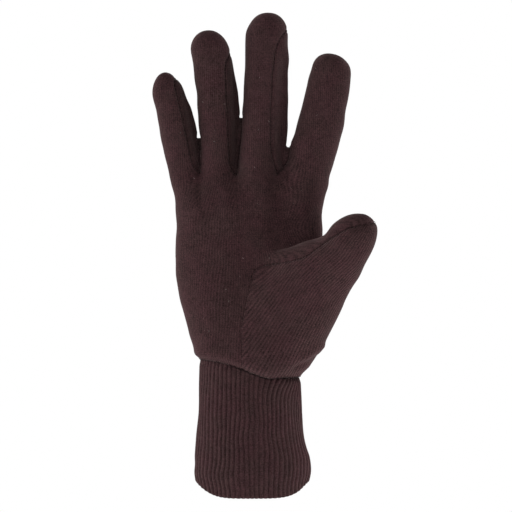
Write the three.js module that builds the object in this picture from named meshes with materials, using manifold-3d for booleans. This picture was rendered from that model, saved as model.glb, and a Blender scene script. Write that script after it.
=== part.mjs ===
// A cotton jersey work glove for the right hand, in the form that it has when worn.
// Millimetres. The fingers point to +Z, the palm faces -Y and the thumb is on the +X side.
// The origin is the centre of the cuff's open mouth.
import * as THREE from 'three';
import { mergeVertices } from 'three/addons/utils/BufferGeometryUtils.js';
import Module from 'manifold-3d';

const wasm = await Module();
wasm.setup();

// Driving dimensions

const JERSEY_WALL = 1.8;
const CUFF_WALL = 2.2;
const SEAM_GAP = 0.3;

const CUFF_LENGTH = 75;
const CUFF_SLANT = 10.4;
const CUFF_WIDTH = 60;
const CUFF_DEPTH = 42;
const CUFF_RIB_COUNT = 60;
const CUFF_RIB_HEIGHT = 0.8;
const HEM_RISE = 5;

const PALM_LENGTH = 102;
const PALM_WIDTH = 82;
const PALM_DEPTH = 32;

const THUMB_RISE = 76;
const THUMB_REACH = 62;
const THUMB_FORWARD = 34;
const THUMB_WIDTH = 27;
const THUMB_DEPTH = 24;

const FINGER_CURL = 5;
const LITTLE_LENGTH = 57;
const LITTLE_WIDTH = 20;
const RING_LENGTH = 80;
const RING_WIDTH = 23;
const MIDDLE_LENGTH = 89;
const MIDDLE_WIDTH = 24.8;
const INDEX_LENGTH = 67.5;
const INDEX_WIDTH = 24.6;
const FINGER_DEPTH_SHARE = 0.9;

const CROTCH_HEIGHT = CUFF_LENGTH + PALM_LENGTH;
const BACK_SEAM_DEPTH = 4;

const JERSEY_COLOUR = 0x3d2b2c;
const CUFF_COLOUR = 0x392829;

// Tables: every length is a share of the named size in the column's comment

// height: of PALM_LENGTH above the cuff's seam; left and right: of half of PALM_WIDTH;
// front and back: of half of PALM_DEPTH
const PALM_SECTIONS = [
  { height: -0.24, left: 0.72, right: 0.68, front: 1.3, back: 1.3 },
  { height: -0.09, left: 0.72, right: 0.68, front: 1.3, back: 1.3 },
  { height: 0.0, left: 0.77, right: 0.76, front: 1.28, back: 1.26 },
  { height: 0.1, left: 0.8, right: 0.81, front: 1.18, back: 1.16 },
  { height: 0.21, left: 0.88, right: 0.85, front: 1.08, back: 1.06 },
  { height: 0.31, left: 0.96, right: 0.89, front: 1.03, back: 1.0 },
  { height: 0.42, left: 1.01, right: 0.92, front: 1.0, back: 0.97 },
  { height: 0.54, left: 1.03, right: 0.94, front: 0.98, back: 0.95 },
  { height: 0.7, left: 1.01, right: 0.94, front: 0.92, back: 0.9 },
  { height: 0.82, left: 1.02, right: 0.96, front: 0.82, back: 0.82 },
  { height: 0.91, left: 1.04, right: 1.01, front: 0.68, back: 0.7 },
  { height: 0.98, left: 1.02, right: 1.03, front: 0.48, back: 0.5 },
  { height: 1.02, left: 0.92, right: 0.96, front: 0.26, back: 0.28 },
];

// across: of half of PALM_WIDTH; height and tall: of PALM_LENGTH; wide: of PALM_WIDTH;
// rise: of half of PALM_DEPTH, out of the palm where positive
const PALM_DENTS = [
  { name: 'hollow above the ball of the thumb', across: 0.45, height: 0.72, wide: 0.17, tall: 0.15, rise: -0.2 },
  { name: 'hollow in the middle of the palm', across: -0.1, height: 0.45, wide: 0.14, tall: 0.28, rise: -0.12 },
  { name: 'pad at the foot of the little finger', across: -0.78, height: 0.78, wide: 0.09, tall: 0.14, rise: 0.1 },
  { name: 'pad at the foot of the ring finger', across: -0.32, height: 0.84, wide: 0.08, tall: 0.1, rise: 0.1 },
  { name: 'pad at the foot of the middle finger', across: 0.16, height: 0.86, wide: 0.08, tall: 0.1, rise: 0.1 },
  { name: 'pad at the foot of the index finger', across: 0.68, height: 0.88, wide: 0.09, tall: 0.1, rise: 0.1 },
  { name: 'heel of the hand', across: -0.6, height: 0.3, wide: 0.14, tall: 0.22, rise: 0.12 },
];

// across: of THUMB_REACH; height: of THUMB_RISE above the cuff's seam; forward: of THUMB_FORWARD;
// width: of THUMB_WIDTH; depth: of THUMB_DEPTH
const THUMB_SECTIONS = [
  { across: 0.17, height: 0.03, forward: 0.05, width: 1.42, depth: 1.36 },
  { across: 0.28, height: 0.21, forward: 0.12, width: 1.6, depth: 1.34 },
  { across: 0.4, height: 0.39, forward: 0.24, width: 1.63, depth: 1.26 },
  { across: 0.52, height: 0.55, forward: 0.38, width: 1.55, depth: 1.18 },
  { across: 0.665, height: 0.69, forward: 0.56, width: 1.42, depth: 1.1 },
  { across: 0.78, height: 0.795, forward: 0.71, width: 1.15, depth: 1.05 },
  { across: 0.87, height: 0.88, forward: 0.83, width: 1.0, depth: 1.0 },
  { across: 0.93, height: 0.95, forward: 0.91, width: 0.82, depth: 0.86 },
  { across: 0.975, height: 1.0, forward: 0.97, width: 0.55, depth: 0.58 },
  { across: 0.99, height: 1.02, forward: 0.99, width: 0.22, depth: 0.24 },
];

// root and bend: of half of PALM_WIDTH; lean: degrees towards the thumb side;
// foot: width at the crotch, of the finger's width; seam: how far out the gusset's seam lies in the
// middle of the finger, of its half width
const FINGERS = [
  {
    name: 'little', length: LITTLE_LENGTH, width: LITTLE_WIDTH,
    root: -0.91, foot: 0.86, lean: -10.8, bend: 0.04, seam: 0.4,
  },
  {
    name: 'ring', length: RING_LENGTH, width: RING_WIDTH,
    root: -0.45, foot: 0.88, lean: -3, bend: 0.06, seam: 0.42,
  },
  {
    name: 'middle', length: MIDDLE_LENGTH, width: MIDDLE_WIDTH,
    root: 0.1, foot: 0.93, lean: 3, bend: 0.024, seam: 0.26,
  },
  {
    name: 'index', length: INDEX_LENGTH, width: INDEX_WIDTH,
    root: 0.735, foot: 1.02, lean: 10.8, bend: 0.044, seam: 0.4,
  },
];

// along: of the finger's length above the crotch; size: of its width and depth
const FOOT_END = 0.35;
const FINGER_SECTIONS = [
  { along: -0.4, size: 0.62 },
  { along: -0.06, size: 0.98 },
  { along: 0.15, size: 1.0 },
  { along: 0.35, size: 1.02 },
  { along: 0.6, size: 0.98 },
  { along: 0.76, size: 0.93 },
  { along: 0.85, size: 0.865 },
  { along: 0.91, size: 0.76 },
  { along: 0.955, size: 0.6 },
  { along: 0.985, size: 0.38 },
  { along: 1.0, size: 0.16 },
];

// From the tip down; the seam ends at the crotch. along: of the finger's length;
// out: share of the way from the finger's middle seam share to its edge
const GUSSET_SEAM = [
  { along: 1.15, out: 1.7 },
  { along: 0.98, out: 0.95 },
  { along: 0.9, out: 0.62 },
  { along: 0.76, out: 0.25 },
  { along: 0.55, out: 0.0 },
  { along: 0.3, out: 0.05 },
  { along: 0.13, out: 0.25 },
  { along: 0.04, out: 0.7 },
];

// across: of THUMB_REACH; height: of THUMB_RISE above the cuff's seam
const THUMB_SEAM = [
  { across: -0.09, height: -0.3 },
  { across: -0.09, height: 0.06 },
  { across: -0.09, height: 0.24 },
  { across: -0.055, height: 0.4 },
  { across: -0.02, height: 0.53 },
  { across: 0.02, height: 0.64 },
  { across: 0.11, height: 0.68 },
  { across: 0.25, height: 0.7 },
  { across: 0.37, height: 0.72 },
  { across: 0.48, height: 0.755 },
  { across: 0.62, height: 0.84 },
  { across: 0.72, height: 0.895 },
  { across: 0.81, height: 0.94 },
  { across: 0.92, height: 0.965 },
  { across: 1.02, height: 0.98 },
  { across: 1.3, height: 1.04 },
];

// across: of half of CUFF_WIDTH; drop: of CUFF_SLANT
const CUFF_SEAM = [
  { across: -1.0, drop: 0.0 },
  { across: -0.55, drop: 0.15 },
  { across: -0.22, drop: 0.47 },
  { across: 0.1, drop: 0.8 },
  { across: 0.3, drop: 0.96 },
  { across: 0.6, drop: 0.96 },
  { across: 0.95, drop: 1.0 },
];

// height: of CUFF_LENGTH; left and right: of half of CUFF_WIDTH; depth: of half of CUFF_DEPTH
const CUFF_SECTIONS = [
  { height: 0.0, left: 0.98, right: 0.99, depth: 0.95 },
  { height: 0.035, left: 1.02, right: 1.03, depth: 1.0 },
  { height: 0.12, left: 1.03, right: 1.06, depth: 1.02 },
  { height: 0.3, left: 1.02, right: 1.05, depth: 1.02 },
  { height: 0.46, left: 1.0, right: 0.97, depth: 1.0 },
  { height: 0.6, left: 0.985, right: 0.92, depth: 0.98 },
  { height: 0.92, left: 0.965, right: 0.9, depth: 0.97 },
  { height: 1.12, left: 0.97, right: 0.93, depth: 0.98 },
];

// Solids

function toSolid(geometry) {
  const bare = geometry.clone();
  bare.deleteAttribute('normal');
  bare.deleteAttribute('uv');
  const merged = mergeVertices(bare, 1e-4);
  return new wasm.Manifold(new wasm.Mesh({
    numProp: 3,
    vertProperties: new Float32Array(merged.attributes.position.array),
    triVerts: new Uint32Array(merged.index.array),
  }));
}

function toGeometry(solid) {
  const mesh = solid.getMesh();
  const geometry = new THREE.BufferGeometry();
  geometry.setAttribute('position', new THREE.BufferAttribute(new Float32Array(mesh.vertProperties), 3));
  geometry.setIndex(new THREE.BufferAttribute(new Uint32Array(mesh.triVerts), 1));
  geometry.computeVertexNormals();
  return geometry;
}

// A closed skin over rings of points, each ring turning from the ring's side towards its depth.
function skin(rings) {
  const sides = rings[0].length;
  const points = rings.flat();
  const faces = [];
  for (let ring = 0; ring + 1 < rings.length; ring += 1) {
    for (let side = 0; side < sides; side += 1) {
      const next = (side + 1) % sides;
      const a = ring * sides + side;
      const b = ring * sides + next;
      faces.push(a, b, b + sides, a, b + sides, a + sides);
    }
  }
  const centreOf = (ring) => ring
    .reduce((sum, point) => sum.add(point), new THREE.Vector3())
    .divideScalar(sides);
  const first = points.push(centreOf(rings[0])) - 1;
  const last = points.push(centreOf(rings[rings.length - 1])) - 1;
  const top = (rings.length - 1) * sides;
  for (let side = 0; side < sides; side += 1) {
    const next = (side + 1) % sides;
    faces.push(first, next, side);
    faces.push(last, top + side, top + next);
  }
  const geometry = new THREE.BufferGeometry();
  geometry.setAttribute('position', new THREE.Float32BufferAttribute(points.flatMap((p) => p.toArray()), 3));
  geometry.setIndex(faces);
  return geometry;
}

// One ring of an oval whose left, right, front and back halves may differ.
function oval({ centre, along, left, right, front, back, squareness }, sides) {
  const side = new THREE.Vector3(0, 1, 0).cross(along).normalize();
  const depth = along.clone().normalize().cross(side);
  const ring = [];
  for (let index = 0; index < sides; index += 1) {
    const angle = (index / sides) * 2 * Math.PI;
    const cos = Math.sign(Math.cos(angle)) * Math.abs(Math.cos(angle)) ** squareness;
    const sin = Math.sign(Math.sin(angle)) * Math.abs(Math.sin(angle)) ** squareness;
    ring.push(centre.clone()
      .addScaledVector(side, cos * (cos > 0 ? right : left))
      .addScaledVector(depth, sin * (sin > 0 ? back : front)));
  }
  return ring;
}

const UP = new THREE.Vector3(0, 0, 1);
const PALM_SIDES = 30;
const FINGER_SIDES = 14;
const THUMB_SIDES = 16;
const PALM_SQUARENESS = 0.8;
const FINGER_SQUARENESS = 0.92;
const THUMB_SQUARENESS = 0.92;

function dentAt(point) {
  return PALM_DENTS.reduce((sum, dent) => {
    const across = (point.x - (dent.across * PALM_WIDTH) / 2) / (dent.wide * PALM_WIDTH);
    const up = (point.z - CUFF_LENGTH - dent.height * PALM_LENGTH) / (dent.tall * PALM_LENGTH);
    return sum + ((dent.rise * PALM_DEPTH) / 2) * Math.exp(-across * across - up * up);
  }, 0);
}

function palmBody(inset) {
  const top = PALM_SECTIONS[PALM_SECTIONS.length - 1].height;
  const rings = PALM_SECTIONS.map((row) => {
    const ring = oval({
      centre: new THREE.Vector3(0, 0, CUFF_LENGTH + row.height * PALM_LENGTH - (row.height / top > 0.9 ? inset : 0)),
      along: UP,
      left: (row.left * PALM_WIDTH) / 2 - inset,
      right: (row.right * PALM_WIDTH) / 2 - inset,
      front: (row.front * PALM_DEPTH) / 2 - inset,
      back: (row.back * PALM_DEPTH) / 2 - inset,
      squareness: PALM_SQUARENESS,
    }, PALM_SIDES);
    for (const point of ring) {
      const frontShare = Math.max(0, -point.y) / ((row.front * PALM_DEPTH) / 2);
      point.y -= dentAt(point) * Math.min(1, frontShare);
    }
    return ring;
  });
  return toSolid(skin(rings));
}

// The centre line of a finger: straight with a slight bend across and a curl towards the palm.
function fingerPoint(finger, along) {
  const lean = THREE.MathUtils.degToRad(finger.lean);
  const rise = along * finger.length;
  const bow = 4 * along * (1 - along) * finger.bend * (PALM_WIDTH / 2);
  return new THREE.Vector3(
    (finger.root * PALM_WIDTH) / 2 + rise * Math.sin(lean) + bow,
    -FINGER_CURL * Math.max(0, along) ** 2,
    CROTCH_HEIGHT + rise * Math.cos(lean),
  );
}

// A finger's width at a share along it, between the rows of its sections.
function fingerWidth(finger, along) {
  const rows = FINGER_SECTIONS;
  const found = rows.findIndex((row) => row.along >= along);
  const [low, high] = found < 0 ? rows.slice(-2) : [rows[Math.max(0, found - 1)], rows[Math.max(1, found)]];
  const share = THREE.MathUtils.clamp((along - low.along) / (high.along - low.along), 0, 1);
  const size = THREE.MathUtils.lerp(low.size, high.size, share);
  const foot = THREE.MathUtils.lerp(finger.foot, 1, THREE.MathUtils.clamp(along / FOOT_END, 0, 1));
  return size * foot * finger.width;
}

function fingerTube(finger, inset) {
  const shorter = { ...finger, length: finger.length - inset };
  const rings = FINGER_SECTIONS.map((row) => {
    const centre = fingerPoint(shorter, row.along);
    const along = fingerPoint(shorter, row.along + 0.02).sub(fingerPoint(shorter, row.along - 0.02));
    const half = (fingerWidth(finger, row.along) * (1 - (2 * inset) / finger.width)) / 2;
    const depth = (fingerWidth(finger, row.along) * (FINGER_DEPTH_SHARE - (2 * inset) / finger.width)) / 2;
    return oval({
      centre, along, left: half, right: half, front: depth, back: depth, squareness: FINGER_SQUARENESS,
    }, FINGER_SIDES);
  });
  return toSolid(skin(rings));
}

function thumbPoint(row, inset) {
  const fullLength = Math.hypot(THUMB_REACH, THUMB_RISE, THUMB_FORWARD);
  const shorten = 1 - (row.height * inset) / fullLength;
  return new THREE.Vector3(
    row.across * THUMB_REACH * shorten,
    -row.forward * THUMB_FORWARD * shorten,
    CUFF_LENGTH + row.height * THUMB_RISE * shorten,
  );
}

function thumbTube(inset) {
  const rows = THUMB_SECTIONS;
  const last = rows.length - 1;
  const rings = rows.map((row, index) => {
    const along = thumbPoint(rows[Math.min(index + 1, last)], inset).sub(thumbPoint(rows[Math.max(index - 1, 0)], inset));
    const half = (row.width * (THUMB_WIDTH - 2 * inset)) / 2;
    const depth = (row.depth * (THUMB_DEPTH - 2 * inset)) / 2;
    return oval({
      centre: thumbPoint(row, inset), along,
      left: half, right: half, front: depth, back: depth, squareness: THUMB_SQUARENESS,
    }, THUMB_SIDES);
  });
  return toSolid(skin(rings));
}

function handForm(inset) {
  return FINGERS.reduce((form, finger) => form.add(fingerTube(finger, inset)), palmBody(inset))
    .add(thumbTube(inset));
}

const RIB_POINTS = 2;
const INNER_CUFF_SIDES = 32;

function cuffForm(inset, sides, ribHeight) {
  const rings = CUFF_SECTIONS.map((row, index) => {
    const isMouth = index === 0;
    const ring = oval({
      centre: new THREE.Vector3(0, 0, row.height * CUFF_LENGTH),
      along: UP,
      left: (row.left * CUFF_WIDTH) / 2 - inset,
      right: (row.right * CUFF_WIDTH) / 2 - inset,
      front: (row.depth * CUFF_DEPTH) / 2 - inset,
      back: (row.depth * CUFF_DEPTH) / 2 - inset,
      squareness: 1,
    }, sides);
    ring.forEach((point, side) => {
      const reach = Math.hypot(point.x, point.y);
      const rise = isMouth ? 0 : (side % RIB_POINTS) * ribHeight;
      const sideways = Math.abs(point.x) / (CUFF_WIDTH / 2);
      const fade = Math.max(0, 1 - (2 * point.z) / CUFF_LENGTH);
      point.z += HEM_RISE * fade * sideways ** 4;
      point.x *= (reach - rise) / reach;
      point.y *= (reach - rise) / reach;
    });
    return ring;
  });
  return toSolid(skin(rings));
}

function cuffBore() {
  const lowered = CUFF_SECTIONS.map((row, index) => ({ ...row, height: index === 0 ? -HEM_RISE / CUFF_LENGTH : row.height }));
  const rings = lowered.map((row) => oval({
    centre: new THREE.Vector3(0, 0, row.height * CUFF_LENGTH),
    along: UP,
    left: (row.left * CUFF_WIDTH) / 2 - CUFF_WALL,
    right: (row.right * CUFF_WIDTH) / 2 - CUFF_WALL,
    front: (row.depth * CUFF_DEPTH) / 2 - CUFF_WALL,
    back: (row.depth * CUFF_DEPTH) / 2 - CUFF_WALL,
    squareness: 1,
  }, INNER_CUFF_SIDES));
  return toSolid(skin(rings));
}

// Cutting tools: outlines in the front view, run through the whole depth of the glove

const CUT_DEPTH = 3 * (PALM_DEPTH + THUMB_FORWARD);
const FAR = 2 * (CROTCH_HEIGHT + MIDDLE_LENGTH);

function prism(outline, depth = CUT_DEPTH, backFace = CUT_DEPTH / 2) {
  const shape = new THREE.Shape(outline.map(([x, z]) => new THREE.Vector2(x, z)));
  const geometry = new THREE.ExtrudeGeometry(shape, { depth, bevelEnabled: false });
  geometry.rotateX(Math.PI / 2);
  geometry.translate(0, backFace, 0);
  return toSolid(geometry);
}

// A slot of the seam's width along a line of points, run on past both ends by the same width.
function slot(line) {
  const half = SEAM_GAP / 2;
  const last = line.length - 1;
  const side = (sign) => line.map(([x, z], index) => {
    const [x0, z0] = line[Math.max(index - 1, 0)];
    const [x1, z1] = line[Math.min(index + 1, last)];
    const length = Math.hypot(x1 - x0, z1 - z0);
    const [alongX, alongZ] = [(x1 - x0) / length, (z1 - z0) / length];
    const past = SEAM_GAP * (Number(index === last) - Number(index === 0));
    return [x - sign * half * alongZ + past * alongX, z + sign * half * alongX + past * alongZ];
  });
  return prism([...side(1), ...side(-1).reverse()]);
}

function box(low, high) {
  const [width, depth, height] = high.map((value, axis) => value - low[axis]);
  const geometry = new THREE.BoxGeometry(width, depth, height);
  geometry.translate(...high.map((value, axis) => (value + low[axis]) / 2));
  return toSolid(geometry);
}

const cuffSeamRows = CUFF_SEAM.map((row) => [(row.across * CUFF_WIDTH) / 2, CUFF_LENGTH - row.drop * CUFF_SLANT]);
const cuffSeamLine = [[-FAR, cuffSeamRows[0][1]], ...cuffSeamRows, [FAR, cuffSeamRows.at(-1)[1]]];
const aboveCuffSeam = prism([...cuffSeamLine, [FAR, FAR], [-FAR, FAR]]);
const belowCuffSeam = prism([...cuffSeamLine, [FAR, -FAR], [-FAR, -FAR]]);

const thumbSeamLine = THUMB_SEAM.map((row) => [
  row.across * THUMB_REACH,
  CUFF_LENGTH + row.height * THUMB_RISE,
]);
const thumbRegion = prism([...thumbSeamLine, [FAR, thumbSeamLine.at(-1)[1]], [FAR, thumbSeamLine[0][1]]]);

// A finger's edge on the thumb side (or the other side) in the front view, at a share along it.
function fingerEdge(finger, along, out) {
  const point = fingerPoint(finger, along);
  const lean = THREE.MathUtils.degToRad(finger.lean);
  const reach = (out * fingerWidth(finger, along)) / 2;
  return [point.x + reach * Math.cos(lean), point.z - reach * Math.sin(lean)];
}

function gussetSeamLine(finger, crotch) {
  const rows = GUSSET_SEAM.map((row) => fingerEdge(finger, row.along, finger.seam + (1 - finger.seam) * row.out));
  return [...rows, crotch];
}

// The line between two fingers that lie side by side, from the crotch up past the shorter one.
const VALLEY_STEPS = [-0.04, 0.06, 0.25, 0.5, 0.75, 1.0, 1.35];
const FORK_SEAM = -0.8;

function valleyLine(finger, neighbour) {
  const shorter = Math.min(finger.length, neighbour.length);
  return VALLEY_STEPS.map((step) => {
    const rise = step * shorter;
    const [ownX] = fingerEdge(finger, rise / finger.length, 1);
    const [nextX] = fingerEdge(neighbour, rise / neighbour.length, -1);
    return [(ownX + nextX) / 2, CROTCH_HEIGHT + rise];
  });
}

const BODY_CLEARANCE = SEAM_GAP / 2;
const backRegion = box([-FAR, BACK_SEAM_DEPTH + BODY_CLEARANCE, -FAR], [FAR, FAR, FAR]);
const frontRegion = box([-FAR, -FAR, -FAR], [FAR, BACK_SEAM_DEPTH - BODY_CLEARANCE, FAR]);

// The glove

const shell = handForm(0).subtract(handForm(JERSEY_WALL)).intersect(aboveCuffSeam).subtract(slot(cuffSeamLine));

const jersey = new THREE.MeshStandardMaterial({ color: JERSEY_COLOUR, roughness: 0.95, metalness: 0 });
const ribKnit = new THREE.MeshStandardMaterial({ color: CUFF_COLOUR, roughness: 0.95, metalness: 0 });

function piece(name, solid, material) {
  const mesh = new THREE.Mesh(toGeometry(solid), material);
  mesh.name = name;
  return mesh;
}

const glove = new THREE.Group();
glove.name = 'cotton_work_glove';

let rest = shell;
for (const [index, finger] of FINGERS.slice(0, 3).entries()) {
  const neighbour = FINGERS[index + 1];
  const isForked = finger.name === 'middle';
  const between = valleyLine(finger, neighbour);
  const crotch = between[0];
  const forkLine = [crotch, ...VALLEY_STEPS.slice(1).map((step) => fingerEdge(neighbour, step, FORK_SEAM))];
  const valley = isForked ? forkLine : between;
  const seam = gussetSeamLine(finger, crotch);
  const region = prism([...seam, ...valley]);
  const opened = rest.subtract(slot(seam)).subtract(slot(valley));
  glove.add(piece(`${finger.name}_finger_gusset`, opened.intersect(region), jersey));
  rest = opened.subtract(region);
}

const thumbSlot = slot(thumbSeamLine);
const front = rest.intersect(frontRegion);
const frontOpened = front.subtract(thumbSlot);
glove.add(piece('thumb_panel', frontOpened.intersect(thumbRegion), jersey));
glove.add(piece('palm_panel', frontOpened.subtract(thumbRegion), jersey));
glove.add(piece('back_panel', rest.intersect(backRegion), jersey));

const cuff = cuffForm(0, CUFF_RIB_COUNT * RIB_POINTS, CUFF_RIB_HEIGHT)
  .subtract(cuffBore())
  .intersect(belowCuffSeam)
  .subtract(slot(cuffSeamLine));
glove.add(piece('knit_cuff', cuff, ribKnit));

export default glove;
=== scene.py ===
"""A brown cotton jersey work glove for the right hand, in the form that it has when worn.

Metres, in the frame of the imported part: the fingers point to +Z, the palm faces -Y, the thumb is on
the +X side and the origin is the centre of the cuff's open mouth. Lengths in the tables and fields
are written in millimetres or as shares, and each class turns them into metres.
"""

import logging
import math
from dataclasses import dataclass
from enum import Enum

import bpy
import numpy as np
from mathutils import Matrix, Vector, kdtree


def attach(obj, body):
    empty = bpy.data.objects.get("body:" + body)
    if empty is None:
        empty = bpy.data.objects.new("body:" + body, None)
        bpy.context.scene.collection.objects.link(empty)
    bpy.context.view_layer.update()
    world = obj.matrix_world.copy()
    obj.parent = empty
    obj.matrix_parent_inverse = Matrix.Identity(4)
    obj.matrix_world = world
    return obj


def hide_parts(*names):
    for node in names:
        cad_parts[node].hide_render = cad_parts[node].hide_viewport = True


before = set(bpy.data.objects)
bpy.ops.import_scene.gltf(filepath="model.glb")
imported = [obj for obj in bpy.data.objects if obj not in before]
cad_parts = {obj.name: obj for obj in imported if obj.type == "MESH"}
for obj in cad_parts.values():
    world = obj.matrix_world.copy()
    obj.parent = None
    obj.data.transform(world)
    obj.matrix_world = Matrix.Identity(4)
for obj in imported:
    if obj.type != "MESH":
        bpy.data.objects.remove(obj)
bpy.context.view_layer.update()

LOG = logging.getLogger("glove")
MM = 0.001
BODY = "root"
SKIN_PASSES = 4
SQUARE_CM_PER_SQUARE_M = 1e4


class Slot(Enum):
    """The record's material slots."""

    JERSEY = "jersey"
    RIB_KNIT = "rib_knit"


class Panel(Enum):
    """The sewn pieces of the hand, each named after the solid that it stands for."""

    PALM = "palm_panel"
    BACK = "back_panel"
    THUMB = "thumb_panel"
    LITTLE_GUSSET = "little_finger_gusset"
    RING_GUSSET = "ring_finger_gusset"
    MIDDLE_GUSSET = "middle_finger_gusset"


GUSSETS = (Panel.LITTLE_GUSSET, Panel.RING_GUSSET, Panel.MIDDLE_GUSSET)


class Table:
    """A short table with named columns, read as smooth curves of its first column."""

    def __init__(self, columns: str, *rows: tuple[float, ...]) -> None:
        """Keep the rows.

        Args:
            columns: The columns' names, with spaces between them.
            rows: One tuple of numbers for each row, the first column rising.
        """
        self.names = columns.split()
        self.values = np.array(rows, float).T

    def column(self, name: str) -> np.ndarray:
        """Return one column's numbers."""
        return self.values[self.names.index(name)]

    def curve(self, name: str, at: np.ndarray) -> np.ndarray:
        """Read a column as a smooth curve of the first column.

        Args:
            name: The column to read.
            at: Places in the first column's units, held to its ends.

        Returns:
            The curve's values, shaped as the places are.
        """
        key, value = self.values[0], self.column(name)
        slope = np.gradient(value, key)
        place = np.clip(at, key[0], key[-1])
        row = np.clip(np.searchsorted(key, place, side="right") - 1, 0, len(key) - 2)
        width = key[row + 1] - key[row]
        t = (place - key[row]) / width
        start = (1 + 2 * t) * (1 - t) ** 2 * value[row] + t * (1 - t) ** 2 * width * slope[row]
        end = t * t * (3 - 2 * t) * value[row + 1] + t * t * (t - 1) * width * slope[row + 1]
        return start + end


def smooth_step(value: np.ndarray, low: float, high: float) -> np.ndarray:
    """Rise smoothly from 0 at low to 1 at high."""
    t = np.clip((value - low) / (high - low), 0, 1)
    return t * t * (3 - 2 * t)


def smooth_union(first: np.ndarray, second: np.ndarray, width: np.ndarray | float) -> np.ndarray:
    """Join two distance fields with a rounded fillet.

    Args:
        first: Distances to one form, below zero inside it.
        second: Distances to the other form.
        width: How far the fillet reaches, in the fields' unit.

    Returns:
        Distances to the joined form.
    """
    share = np.clip(0.5 + 0.5 * (second - first) / width, 0, 1)
    return second + (first - second) * share - width * share * (1 - share)


def round_distance(axes: list[tuple[np.ndarray, np.ndarray]], power: float) -> np.ndarray:
    """Estimate the distance to a rounded form from shares of its half sizes.

    Args:
        axes: For each axis, the place along it and the half size there, both in millimetres.
        power: 2 for an ellipse, and more for a squarer form.

    Returns:
        Distances in millimetres, below zero inside.
    """
    shares = [np.abs(place) / half + 1e-4 for place, half in axes]
    level = sum(share**power for share in shares) ** (1 / power)
    slopes = [(share / level) ** (power - 1) / half for share, (_, half) in zip(shares, axes)]
    steepness = np.sqrt(sum(slope**2 for slope in slopes))
    return (level - 1) / steepness


@dataclass(frozen=True)
class Finger:
    """One finger's sizes in millimetres, its root as a share of half the palm's width.

    The dome is the length of its rounded end, the taper the share of its width that it loses on the
    way there, and the web how far above the crotch it touches the next finger. The seam is where its
    side piece begins, as a share of its half width, the seam's top is where it leaves the outline,
    the recess is how far the side piece lies back, and the skew is how far the tip turns to the thumb.
    The pinch is how far its own side and the next finger's side lean into the crotch between them.
    """

    name: str
    length: float
    width: float
    root: float
    foot: float
    lean: float
    bend: float
    seam: float
    dome: float
    taper: float
    web: float = 0
    seam_top: float = 0.9
    recess: float = 0
    skew: float = 0
    pinch: tuple[float, float] = (0, 0)


FINGERS = (
    Finger("little", 57, 20, root=-0.91, foot=0.86, lean=-12.8, bend=0.055, seam=0.4,
           dome=12, taper=0.3, web=17.5, seam_top=0.95, recess=3.8, skew=1.4, pinch=(1.4, 0.1)),
    Finger("ring", 79.2, 22.8, root=-0.456, foot=0.88, lean=-5.2, bend=0.09, seam=0.42,
           dome=12.5, taper=0.1, web=31, seam_top=0.83, recess=4.4, skew=1.3, pinch=(0.6, 0.9)),
    Finger("middle", 88.5, 24.6, root=0.12, foot=1.09, lean=2.2, bend=0.024, seam=0.26,
           dome=13.5, taper=0.09, web=19, seam_top=0.91, recess=3.2, skew=1.3, pinch=(0.3, 1.2)),
    Finger("index", 67.5, 24.6, root=0.735, foot=1.05, lean=12.6, bend=0.035, seam=0.4,
           dome=10, taper=0.15),
)


@dataclass(frozen=True)
class Grid:
    """A block of sample points in millimetres."""

    low: tuple[float, float, float]
    high: tuple[float, float, float]
    steps: tuple[float, float, float]

    def axes(self) -> list[np.ndarray]:
        """Return the x, y and z places, shaped to spread over the block.

        Returns:
            One array for each axis.
        """
        spans = zip(self.low, self.high, self.steps)
        lines = [np.arange(low, high, step, dtype=np.float32) for low, high, step in spans]
        return [lines[0][:, None, None], lines[1][None, :, None], lines[2][None, None, :]]


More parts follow.
